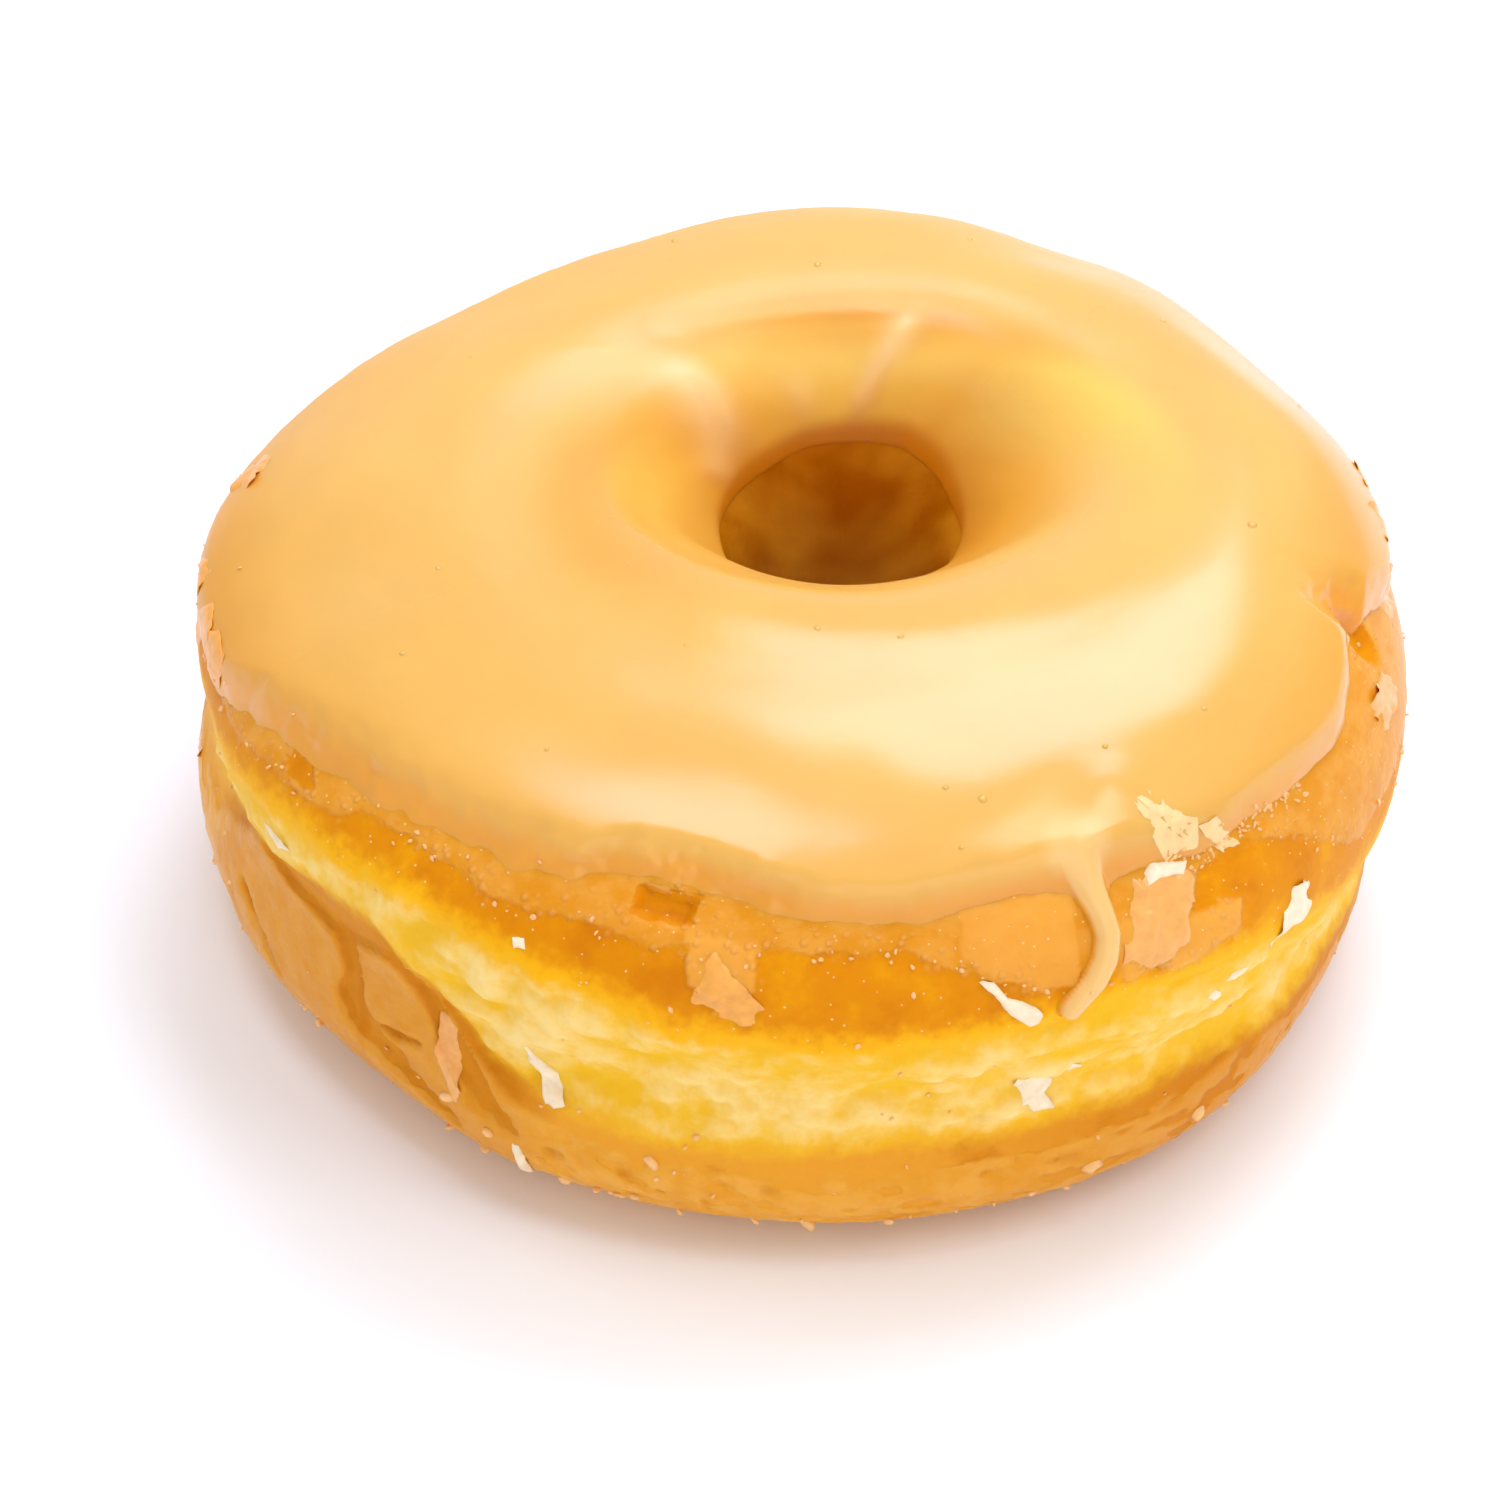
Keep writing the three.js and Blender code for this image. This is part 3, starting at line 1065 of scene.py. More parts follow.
@dataclass(frozen=True)
class Spot:
    """A small area on the side: its middle in degrees and down, and half sizes in mm."""

    azimuth: float
    down: float
    half_width: float
    half_height: float
    square: bool = False

    def beyond(self, azimuth: Array, down: Array) -> Array:
        """How far outside it each place lies: -1 in its middle and 0 on its border."""
        x = degrees_from(azimuth, self.azimuth) * MM_PER_DEGREE / self.half_width
        y = (down - self.down) / self.half_height
        return (np.maximum(np.abs(x), np.abs(y)) if self.square else np.hypot(x, y)) - 1


# Where the glaze came off the crust in two places and thinned in a third, and where the
# icing came off over one of them.
TORN_SLOT = Spot(-104.3, 18.9, 2.3, 1.1, square=True)
TORN_PIT = Spot(-15.3, 13.6, 1.6, 3.0)
THIN_SPOT = Spot(-146.5, 22.5, 2.4, 1.1)
ICING_PIT = Spot(-15.5, 13.7, 1.35, 2.7)


DRIP = Band(
    (
        (-63.6, 15.0, 2.0),
        (-63.0, 17.4, 1.3),
        (-62.3, 19.4, 1.05),
        (-62.0, 21.0, 1.0),
        (-62.6, 22.7, 1.0),
        (-63.8, 24.1, 0.95),
        (-65.3, 25.2, 0.85),
        (-66.2, 25.9, 0.8),
    )
)

CREVICES = (
    Band(((-150.0, 33.2, 0.4), (-145.0, 32.6, 1.7), (-139.0, 32.0, 2.8), (-131.5, 31.0, 1.6))),
    Band(
        (
            (-136.6, 32.5, 2.0),
            (-136.1, 36.0, 1.0),
            (-135.2, 38.2, 0.8),
            (-135.4, 40.6, 1.5),
            (-134.0, 42.4, 1.9),
            (-131.0, 43.8, 1.3),
            (-127.0, 45.4, 0.9),
            (-123.0, 47.0, 0.4),
        )
    ),
    Band(
        (
            (-131.0, 30.6, 1.3),
            (-129.0, 32.0, 0.8),
            (-126.2, 34.2, 0.8),
            (-124.2, 36.6, 0.9),
            (-121.6, 39.4, 1.2),
            (-118.8, 42.2, 1.0),
            (-116.0, 44.6, 0.4),
        )
    ),
    Band(((-133.0, 41.2, 0.1), (-130.0, 40.9, 0.3), (-126.5, 40.2, 0.1))),
    Band(((-153.5, 40.0, 0.2), (-150.0, 42.4, 0.4), (-147.5, 45.5, 0.2))),
    Band(((128.0, 40.0, 0.6), (131.5, 43.0, 1.1), (133.0, 47.0, 0.6))),
    Band(((149.0, 39.5, 1.0), (146.0, 42.5, 0.7), (147.5, 46.5, 1.0))),
    Band(((168.0, 41.0, 0.3), (171.0, 43.6, 0.9), (176.0, 45.2, 0.4))),
)

CREASES = tuple(
    Band(((middle - 1.1, down + 0.1, 0.12), (middle, down, 0.4), (middle + 1.2, down - 0.2, 0.12)))
    for middle, down in (
        (-112.0, 45.5), (-109.2, 45.0), (-104.5, 43.9), (-71.5, 37.7), (-53.5, 41.5),
        (-47.5, 39.7), (-44.5, 38.2), (-36.0, 42.5), (-92.0, 44.6), (-64.0, 43.4),
        (-8.0, 42.0), (14.0, 43.5), (37.0, 41.8), (66.0, 43.0), (98.0, 42.4), (158.0, 44.0),
    )
)

FLUSH_SHEETS = (
    Patch(-70.3, 20.8, ((-4.5, -3.6), (4.6, -3.6), (4.2, 4.0), (0.6, 3.4), (-4.5, 0.5))),
    Patch(
        -53.0, 23.9, ((-3.1, -1.9), (0.6, -2.5), (4.3, -1.9), (3.9, 0.5), (-0.8, 1.6), (-3.9, 1.6))
    ),
    Patch(-61.0, 23.2, ((-1.0, -3.0), (3.2, -3.0), (2.6, 1.6), (0.2, 2.0))),
    Patch(-98.5, 22.8, ((-2.6, -2.6), (3.0, -2.4), (3.4, 1.2), (0.8, 2.6), (-1.8, 1.0))),
    Patch(70.0, 26.0, ((-3.6, -2.5), (2.8, -2.8), (3.9, 1.2), (0.2, 2.6), (-2.8, 1.3))),
    Patch(112.0, 25.5, ((-2.6, -2.0), (3.4, -1.8), (2.9, 1.8), (-3.1, 2.2))),
    Patch(18.0, 24.5, ((-3.4, -2.2), (3.0, -2.6), (2.2, 2.4), (-1.8, 1.4))),
)


@dataclass
class SkinFields:
    """What the dough's skin is like at each place, in millimetres or shares."""

    lift: Array
    belt_top: Array
    belt_foot: Array
    film: Array
    plate: Array
    lump: Array
    depth: Array
    amber_and_hole_shade: Array
    sheet: Array


@dataclass
class DoughRing:
    """The fried ring of dough, with its pale lumpy belt and the glaze that clings to it."""

    form: RingForm
    gauge: SurfaceGauge
    sections: int = 880
    belt_top: RoundCurve = RoundCurve(
        (
            (-170, 30.5), (-158, 29.7), (-146, 25.9), (-136, 25.4), (-129, 24.2), (-121, 25.3),
            (-110, 25.8), (-99, 28.1), (-86, 27.7), (-73, 27.3), (-65, 25.9), (-59, 25.5),
            (-47, 26.1), (-41, 26.9), (-30, 29.8), (-10, 28.2), (25, 27.0), (60, 28.6),
            (95, 27.2), (130, 28.8), (160, 28.0),
        )
    )
    belt_foot: RoundCurve = RoundCurve(
        (
            (-167, 36.5), (-156, 34.5), (-148, 32.0), (-140, 29.6), (-131, 28.6), (-126, 31.7),
            (-120, 36.5), (-112, 39.6), (-99, 40.2), (-85, 39.3), (-60, 38.7), (-53, 37.7),
            (-43, 38.7), (-26, 39.3), (10, 38.0), (45, 39.4), (90, 37.6), (130, 39.0),
            (165, 38.0),
        )
    )
    plate_top: RoundCurve = RoundCurve(
        (
            (-162, 38.0), (-156, 35.5), (-150, 33.0), (-146, 31.0), (-138, 30.0), (-129, 30.2),
            (-126, 32.5), (-122, 37.0), (-117, 40.0), (-112, 42.0), (-95, 42.5), (-80, 41.8),
            (-60, 40.5), (-44, 39.6), (-26, 41.0), (10, 40.0), (45, 41.0), (90, 39.2),
            (130, 40.6), (165, 40.0),
        )
    )
    film_edge: RoundCurve = RoundCurve(
        (
            (-160, 26.5), (-147, 24.0), (-141, 23.6), (-135, 21.1), (-127, 21.5), (-120, 22.6),
            (-112, 21.4), (-105, 22.2), (-95, 21.0), (-80, 20.6), (-76, 22.3), (-70, 23.8),
            (-62, 24.2), (-54, 24.6), (-52.3, 18.6), (-46, 18.4), (-40, 19.7), (-35, 22.6),
            (-30, 25.6), (-12, 25.0), (20, 22.0), (50, 25.2), (85, 22.5), (120, 24.8),
            (160, 22.0),
        )
    )
    wander: Pattern = Pattern(5, 9.0, 2)
    foot_wander: Pattern = Pattern(6, 8.0, 2)
    film_wander: Pattern = Pattern(7, 3.5, 3)
    broad: Pattern = Pattern(8, 13.0, 2)
    fine: Pattern = Pattern(9, 1.6, 3)
    wall: Pattern = Pattern(10, 6.0, 3)
    folds: Pattern = Pattern(22, (4.0, 4.0, 1.4), 3)
    uneven: Pattern = Pattern(24, 9.0, 2)
    grain: Pattern = Pattern(25, (1.5, 1.5, 1.1), 3)
    coat: Pattern = Pattern(32, (4.5, 4.5, 1.7), 3)
    lump_mm: tuple[float, float, float] = (6.5, 6.5, 3.4)
    crumb_mm: tuple[float, float, float] = (3.0, 3.0, 2.2)

    def stations(self) -> Array:
        """Stations round one section, closest together over the side that shows."""
        ends = (0.0, 1.0, 1.4, 2.0, 3.0, 4.0, 5.0, 6.0, 7.0)
        counts = (9, 3, 34, 13, 17, 26, 2, 8)
        spans = zip(ends, ends[1:], counts)
        return np.concatenate([np.linspace(*span, endpoint=False) for span in spans])

    def fields(self, azimuth: Array, down: Array) -> SkinFields:
        """Works out relief and zones of the skin.

        Args:
            azimuth: Azimuths in radians.
            down: Way down from the crown in millimetres.

        Returns:
            The fields at every place.
        """
        azimuth, down = np.broadcast_arrays(azimuth, down)
        place = drum(azimuth, down)
        wander = self.wander.at(place)
        belt_top = down - self.belt_top.at(azimuth) + 0.9 * wander
        belt_foot = self.belt_foot.at(azimuth) - down + 0.9 * self.foot_wander.at(place)
        film = self.film_edge.at(azimuth) - down + 0.7 * self.film_wander.at(place)
        side = smooth(down, 14, 18) * (1 - smooth(down, 60, 66))
        inside_belt = smooth(belt_top, -0.4, 1.4) * smooth(belt_foot, -0.6, 1.2) * side

        # Lumps, crumb, folds and grain of the belt, all bent by the same warp.
        warp = np.stack([Pattern(seed, 4.0, 3).at(place) for seed in (11, 12, 13)], axis=-1)
        lumps = CellField(21).pillows((place + 1.5 * warp) / np.array(self.lump_mm))
        crumb = CellField(23).pillows((place + 0.9 * warp) / np.array(self.crumb_mm))
        folds = self.folds.at(place + 1.2 * warp)
        wrinkled = fade(azimuth, -45, 18) + 0.6 * fade(azimuth, 60, 40)
        lump = 0.85 * (lumps - 0.3) + 0.75 * (crumb - 0.35) + (0.06 + 0.26 * wrinkled) * folds
        lump = lump + 0.12 * self.grain.at(place + 0.5 * warp) + 0.25 * self.uneven.at(place)
        lump = np.clip(lump - 0.15 * fade(azimuth, -37, 15), 0, 1)

        # Whole thick glaze on the left with crevices in it, and a patchy coat elsewhere.
        whole = smooth(fade(azimuth, -137, 19) + 0.1 * wander, 0.4, 0.6)
        coat = 0.45 + 2.6 * self.coat.at(place + 0.8 * warp)
        plate = whole * 1.4 + (1 - whole) * coat
        start = down - self.plate_top.at(azimuth) + (1 - 0.6 * whole) * wander
        plate = np.minimum(np.clip(plate, -1, 1.5), 0.7 * start)
        crevice = np.max([band.inside(azimuth, down) for band in CREVICES], axis=0)
        plate = np.minimum(plate, -1.6 * (crevice + 0.35 * warp[..., 0]))
        plate = np.where(down > 60, -1.0, plate)
        crease = np.max([band.inside(azimuth, down) for band in CREASES], axis=0)
        crease = smooth(crease + 0.12 * warp[..., 1], -0.2, 0.2)

        # How far the skin stands off the smooth form.
        fine = self.fine.at(place)
        low = smooth(belt_foot, 0.5, -1.5) * side
        hole = smooth(down, -8, -14)
        lift = 0.22 * self.broad.at(place) * side + 0.05 * fine
        lift = lift + 0.7 * hole * self.wall.at(place)
        torn = 1.1 + 0.5 * fade(azimuth, -119, 12)
        lift = lift + inside_belt * (torn * (lump - 0.5) - 0.1 + 0.1 * fine) + 0.1 * low * fine
        ledge = whole * smooth(belt_foot, 0.6, -0.8) * side
        lift = lift - 0.5 * ledge * smooth(plate, 0.5, -0.5) - 0.25 * crease
        sheet = np.max([patch.inside(azimuth, down) for patch in FLUSH_SHEETS], axis=0) + 0.4 * fine
        film = np.maximum(film, sheet)
        lift = lift + 0.16 * smooth(film, 0, 0.35) * smooth(belt_top, 2.5, 1.5) * side
        lift = lift + 0.14 * smooth(sheet, 0, 0.35) * side
        lift = lift + (0.1 + 0.15 * whole) * smooth(plate, 0, 0.6) * side
        flat_foot = 0.35 * fade(azimuth, -38, 12) + 0.8 * fade(azimuth, -18, 12)
        flat_foot = flat_foot + 1.1 * fade(azimuth, -136, 13)
        lift = lift - 0.8 * flat_foot * smooth(down, 33, 42) * (1 - smooth(down, 50, 58))

        # Bare spots, and dark lines where the thick glaze has cracked.
        torn_off = np.minimum(
            TORN_SLOT.beyond(azimuth, down) + 0.25 * fine, TORN_PIT.beyond(azimuth, down)
        )
        thin = THIN_SPOT.beyond(azimuth, down) + 0.6 * fine
        film = np.minimum(film, 2.5 * np.minimum(torn_off, thin + 0.2))
        lift = lift - 0.9 * smooth(torn_off, 0.1, -0.3)
        dark_line = smooth(np.abs(degrees_from(azimuth, -134.8) + 0.5 * warp[..., 2]), 0.9, 0.1)
        amber_and_hole_shade = 0.7 * whole + 0.5 * dark_line * smooth(down, 33, 35)
        amber_and_hole_shade = np.clip(np.maximum(amber_and_hole_shade, crease) + 1.2 * fade(azimuth, -38, 20), 0, 1)
        # In the hole the same number carries painted shade, darkest close under the icing and
        # fading deeper in.
        amber_and_hole_shade = amber_and_hole_shade + (smooth(down, -26, -18) - amber_and_hole_shade) * hole
        lump = lump * inside_belt
        sheet = smooth(sheet, -0.1, 0.3)
        return SkinFields(lift, belt_top, belt_foot, film, plate, lump, hole, amber_and_hole_shade, sheet)

    def build(self) -> bpy.types.Object:
        """Builds and dresses the ring of dough."""
        azimuth = crowded_angles(self.sections, ((-90, 50, 0.5),))[:, None]
        station = self.stations()[None, :]
        down = self.gauge.down_at(azimuth, station)
        round_trip = self.gauge.down_at(azimuth, 7.0) - self.gauge.down_at(azimuth, 0.0)
        skin_down = np.where(station >= 6, down - round_trip, down)
        fields = self.fields(azimuth, skin_down)
        points = self.gauge.place(azimuth, down, fields.lift)
        points[..., 2] = np.maximum(points[..., 2], 0.0)
        faces = ring_faces(*points.shape[:2])
        piece = mesh_object("fried_dough_ring", points, faces)
        painted = {name: getattr(fields, name) for name in PAINTED_ON_DOUGH}
        paint_numbers(piece, place=drum(azimuth, skin_down), **painted)
        piece.data.materials.append(FriedYeastDough().build())
        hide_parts("dough_ring")
        return piece


# ---------------------------------------------------------------------------- the icing


@dataclass(frozen=True)
class Bulge:
    """Icing that stands higher, or lower, round one place on the lip of the hole.

    It fades by a spread in degrees round the hole, and by a reach in millimetres on its
    outer side and another on its inner side.
    """

    towards: float
    spread: float
    down: float
    height: float
    outer_reach: float
    inner_reach: float

    def at(self, azimuth: Array, down: Array) -> Array:
        """Millimetres added to the icing at each place."""
        reach = np.where(down > self.down, self.outer_reach, self.inner_reach)
        fall = np.exp(-(((down - self.down) / reach) ** 2))
        return self.height * fade(azimuth, self.towards, self.spread) * fall


@dataclass
class MapleIcing:
    """The poured cap of icing: its wavy edge, its one drip and a torn spot."""

    form: RingForm
    gauge: SurfaceGauge
    sections: int = 760
    stations: int = 116
    below_stations: int = 14
    thickness: float = 1.8
    thickness_in_hole: float = 1.2
    drip_thickness: float = 1.25
    drip_fillet: float = 0.7
    drip_softness: float = 0.3
    drip_azimuth: float = -64.0
    drip_end: float = 27.5
    tuck: float = 1.0
    underside: float = -1.7
    crowding: float = 1.6
    ragged: Pattern = Pattern(41, 3.2, 3)
    uneven: Pattern = Pattern(43, 15.0, 2)
    bulges: tuple[Bulge, ...] = (
        Bulge(-92, 42, -9.0, 1.75, 6.5, 6.5),
        Bulge(-150, 26, -8.5, 1.2, 5.0, 3.4),
        Bulge(-138, 20, -14.5, 0.8, 3.2, 3.2),
        Bulge(-47, 18, -12.5, 0.7, 3.0, 3.0),
        Bulge(95, 55, -1.5, -0.8, 4.0, 4.0),
        Bulge(138, 22, -2.0, -0.5, 4.0, 4.0),
    )
    ridges: tuple[tuple[float, ...], ...] = (
        (77.5, -2.2, 81.5, -7.2, 0.42, 1.7),
        (134.5, -4.9, 145.5, -15.1, 0.3, 1.8),
        (137.0, -6.0, 140.0, -9.5, 0.25, 3.0),
        (106.0, -7.2, 106.0, -7.2, 0.22, 1.9),
        (143.0, 1.5, 141.0, 0.5, 0.16, 1.5),
        (129.5, 0.0, 129.0, 0.5, 0.14, 1.2),
        (-19.0, 8.0, -18.0, 8.6, -0.35, 0.9),
        (-58.0, 12.0, -63.0, 16.0, 0.3, 2.2),
        (-108.0, 16.4, -97.0, 16.6, 0.25, 1.2),
    )
    hole_edge_height: RoundCurve = RoundCurve(
        (
            (-157, 22.2), (-175, 23.0), (169, 24.0), (144, 25.0), (123, 25.7), (107, 26.7),
            (85, 27.2), (62, 27.5), (43, 26.5), (27, 25.3), (-1, 24.2), (-30, 23.4),
            (-60, 23.2), (-90, 23.0), (-125, 22.4),
        )
    )
    outer_edge: RoundCurve = RoundCurve(
        (
            (-165, 27.0), (-158, 24.6), (-152, 22.9), (-143, 21.5), (-136, 21.0), (-129, 20.7),
            (-121, 20.4), (-115, 19.7), (-109, 17.9), (-103, 17.5), (-98, 17.8), (-92, 18.5),
            (-86, 18.8), (-80, 18.6), (-74, 17.9), (-69, 17.5), (-60, 17.3), (-55, 17.4),
            (-50, 17.8), (-43, 17.0), (-35, 17.0), (-28, 17.0), (-23, 15.4), (-18, 13.2),
            (-12, 14.0), (-4, 17.5), (15, 18.2), (35, 16.8), (55, 18.4), (80, 17.0),
            (100, 18.8), (125, 17.6), (142, 18.8), (156, 21.2), (170, 24.8), (179, 26.6),
            (188, 27.4),
        )
    )

    def hole_edge(self, azimuth: Array) -> Array:
        """Way into the hole, as a negative down, where the icing ends."""
        return self.gauge.hole_down_at(azimuth, self.hole_edge_height.at(azimuth))

    def inside(self, azimuth: Array, down: Array) -> Array:
        """Millimetres inside the poured icing's border, negative outside it.

        Args:
            azimuth: Azimuths in radians.
            down: Way down from the crown.

        Returns:
            Signed distance at each place.
        """
        ragged = self.ragged.at(drum(azimuth, down)) * (0.38 + 0.7 * fade(azimuth, -130, 22))
        outer = self.outer_edge.at(azimuth) + ragged - down
        body = np.minimum(outer, down - self.hole_edge(azimuth))
        parts = (body, DRIP.inside(azimuth, down))
        soft = self.drip_fillet
        joined = soft * np.log(sum(np.exp(np.clip(part, -20, 20) / soft) for part in parts))
        pit = 1.5 * ICING_PIT.beyond(azimuth, down) + 2 * ragged
        return np.minimum(joined, pit)

    def folds(self, azimuth: Array, down: Array) -> Array:
        """Soft ridges and hollows where the icing set as it ran.

        Args:
            azimuth: Azimuths in radians.
            down: Way down from the crown.

        Returns:
            Millimetres added to the icing.
        """
        total = np.zeros(np.broadcast(azimuth, down).shape)
        for a0, d0, a1, d1, height, width in self.ridges:
            x = np.radians(degrees_from(azimuth, a0)) * self.radius_at(down)
            step_x = math.radians(a1 - a0) * self.radius_at(d0)
            _, away = beside_line(x, down - d0, step_x, d1 - d0)
            total += height * np.exp(-((away / width) ** 2))
        return total

    @staticmethod
    def radius_at(down: float | Array) -> float | Array:
        """Rough radius of the icing at a way down from the crown, in millimetres."""
        return np.clip(24.5 + 0.8 * down, 12, SIDE_RADIUS)

    def thick(self, azimuth: Array, down: Array) -> tuple[Array, Array]:
        """How far the icing stands off the dough, and how deep it looks.

        Args:
            azimuth: Azimuths in radians.
            down: Way down from the crown.

        Returns:
            Lift in millimetres, negative where it is tucked under the skin, and depth.
        """
        inside = self.inside(azimuth, down)
        extra = (self.thickness - self.thickness_in_hole) * smooth(down, -14, -2)
        full = self.thickness_in_hole + extra + 0.16 * self.uneven.at(drum(azimuth, down))
        soft_edge = 3.0 + 2.4 * fade(azimuth, -138, 18) + 0.8 * fade(azimuth, 60, 60)
        way = np.clip(inside / soft_edge, 0, 1)
        blunt = 0.42 - 0.38 * fade(azimuth, -122, 30) * smooth(down, 5, 10)
        bead = blunt * np.sqrt(1 - (1 - way) ** 2) + (1 - blunt) * smooth(way, 0, 1)
        poured = (full + self.folds(azimuth, down)) * bead
        ran = DRIP.share(azimuth, down)
        ran = self.drip_thickness * np.sqrt(1 - (1 - ran) ** 2)
        soft = self.drip_softness
        lift = soft * np.log(np.exp(poured / soft) + np.exp(ran / soft) - 1)
        lift = lift + sum(bulge.at(azimuth, down) for bulge in self.bulges)
        lift = np.where(inside > 0, lift, np.maximum(1.4 * inside, -1.4))
        deep = full * bead * (0.8 + 0.2 * smooth(inside, 0, 7))
        return lift, np.maximum(deep, 1.8 * ran)

    def level(self, azimuth: Array, down: Array) -> Array:
        """Share of the painted lit top colour over the painted shade of the slopes: lit where the
        top is level, on the front and in the drip, shaded on the hole's left wall.
        """
        azimuth, down = np.broadcast_arrays(azimuth, down)
        normal = self.form.normal(azimuth, self.gauge.station_at(azimuth, down))
        drip = smooth(DRIP.inside(azimuth, down), -2.5, 0.2)
        # Painted light on the front, and painted shade on the hole's left wall.
        front = 0.85 * fade(azimuth, -62, 30) * smooth(down, 4, 9)
        left_wall_shade = 0.8 * fade(azimuth, -172, 32) * smooth(down, -1, -6)
        flat = smooth(normal[..., 2], 0.72, 1.0) + front - left_wall_shade
        return np.clip(np.maximum(flat, drip), 0, 1)

    def hollow(self, azimuth: Array, down: Array) -> Array:
        """Share of painted light, a lighter and yellower icing colour, in the hole on its far,
        right and left walls.
        """
        top = down + 2 * fade(azimuth, 50, 30)
        towards = np.maximum(fade(azimuth, 88, 34), 0.75 * fade(azimuth, 30, 26))
        far = smooth(top, 1, -4) * (1 - 0.6 * smooth(down, -11, -17)) * towards
        return np.maximum(far, 0.35 * fade(azimuth, 178, 30) * smooth(down, -7, -11))

    def ridge(self, azimuth: Array, down: Array) -> Array:
        """Share of a painted highlight, the palest icing colour, on the folds in the hole and along
        the drip.
        """
        folds = np.clip(self.folds(azimuth, down) / 0.5, 0, 0.85) * smooth(down, 2, -2)
        return np.maximum(folds, 0.5 * smooth(DRIP.inside(azimuth, down), -1.5, 0.4))

    def build(self) -> bpy.types.Object:
        """Builds and dresses the icing as one closed shell."""
        azimuth = crowded_angles(
            self.sections, ((-90, 50, 0.4), (-64, 3.2, 5.0), (-104, 4.0, 1.5), (-16, 5.0, 1.0))
        )[:, None]
        inner = self.hole_edge(azimuth) - self.tuck
        low = np.maximum(self.outer_edge.at(azimuth), 0) + self.tuck
        reach = smooth(np.abs(degrees_from(azimuth, self.drip_azimuth)), 16.0, 5.0)
        low = low + (self.drip_end - low) * reach
        way = np.linspace(0, 1, self.stations)[None, :]
        down = inner + (low - inner) * (1 - (1 - way) ** self.crowding)
        lift, depth = self.thick(azimuth + 0 * down, down)
        top = self.gauge.place(azimuth, down, lift)
        back = np.linspace(1, 0, self.below_stations + 2)[None, 1:-1]
        down_below = inner + (low - inner) * back
        below = self.gauge.place(azimuth, down_below, self.underside)
        points = np.concatenate([top, below], axis=1)
        piece = mesh_object("maple_icing_cap", points, ring_faces(*points.shape[:2]))
        all_down = np.concatenate([down, down_below], axis=1)
        paint_numbers(
            piece,
            place=drum(azimuth, all_down),
            depth=np.concatenate([depth, 0 * down_below], axis=1),
            # Painted light and shade: the lit top, the light in the hole and the highlight on the
            # folds.
            level=self.level(azimuth, all_down),
            hollow=self.hollow(azimuth, all_down),
            dull=np.clip(fade(azimuth, 125, 55) + smooth(all_down, -8, -13), 0, 1),
            seep=smooth(all_down - self.hole_edge(azimuth), 3.6, 0.2),
            ridge=self.ridge(azimuth, all_down),
        )
        piece.data.materials.append(MapleFondant().build())
        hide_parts("maple_icing")
        return piece


# ------------------------------------------------------------------ torn and dried glaze


@dataclass
class Skin:
    """The outermost surface of the doughnut: icing where it lies, and dough elsewhere."""

    dough: DoughRing
    icing: MapleIcing

    def place(self, azimuth: Array, down: Array, lift: float | Array) -> Array:
        """Points off the outermost surface, bumps and all.

        Args:
            azimuth: Azimuths in radians.
            down: Way down from the crown in millimetres.
            lift: Millimetres off the surface.

        Returns:
            Points in millimetres.
        """
        azimuth, down = np.broadcast_arrays(azimuth, down)
        relief = self.dough.fields(azimuth, down).lift
        relief = np.maximum(relief, self.icing.thick(azimuth, down)[0])
        return self.dough.gauge.place(azimuth, down, relief + lift)


@dataclass(frozen=True)
class Leaf:
    """A torn piece of glaze: where its middle lies and its corners round it, in mm."""

    azimuth: float
    down: float
    corners: tuple[tuple[float, float], ...]
    lift: float = 0.08
    curl: float = 0.14
    tilt: float = 0.0


SHEETS = (
    Leaf(
        -97.0,
        24.2,
        ((-2.7, -0.7), (-1.2, -2.9), (0.5, -1.5), (3.3, 1.2), (2.9, 2.4), (0.2, 2.0), (-2.2, 1.1)),
        0.25,
        0.35,
    ),
)

SKINS = (
    Leaf(
        -56.5,
        20.5,
        ((-1.6, -3.3), (3.5, -2.1), (3.5, 0.5), (2.0, 3.0), (-1.6, 4.3), (-3.5, 3.1), (-2.6, -0.5)),
        0.3,
        0.3,
    ),
    Leaf(
        -123.2,
        39.8,
        ((-1.3, -3.5), (0.3, -4.1), (0.9, -0.6), (1.5, 2.6), (0.8, 4.7), (0.0, 3.0), (-0.5, 0.4)),
        0.2,
        0.35,
    ),
    Leaf(-6.0, 16.5, ((-2.4, -1.6), (2.2, -1.9), (2.9, 1.4), (-1.2, 2.0)), 0.1, 0.3),
    Leaf(2.0, 15.2, ((-2.0, -1.2), (1.4, -2.1), (2.2, 1.8), (-1.7, 1.4)), 0.1, 0.3),
    Leaf(10.0, 15.8, ((-1.8, -1.9), (1.9, -1.4), (1.5, 1.9), (-2.3, 1.5)), 0.1, 0.3),
    Leaf(-18.0, 19.0, ((-2.6, -1.3), (2.4, -1.9), (3.0, 1.6), (-1.6, 2.2)), 0.1, 0.3),
)

WISPS = (
    Leaf(
        -54.0,
        14.9,
        ((-2.3, -3.2), (-0.6, -3.3), (1.2, -1.4), (2.6, 0.2), (2.4, 2.4), (-0.4, 2.6), (-1.4, 0.4)),
        0.03,
        0.1,
    ),
    Leaf(
        -48.8,
        17.0,
        ((-1.5, -1.2), (0.2, -1.5), (1.5, 0.0), (2.2, 1.3), (0.6, 1.3), (-0.4, 0.4)),
        0.05,
        0.15,
    ),
)

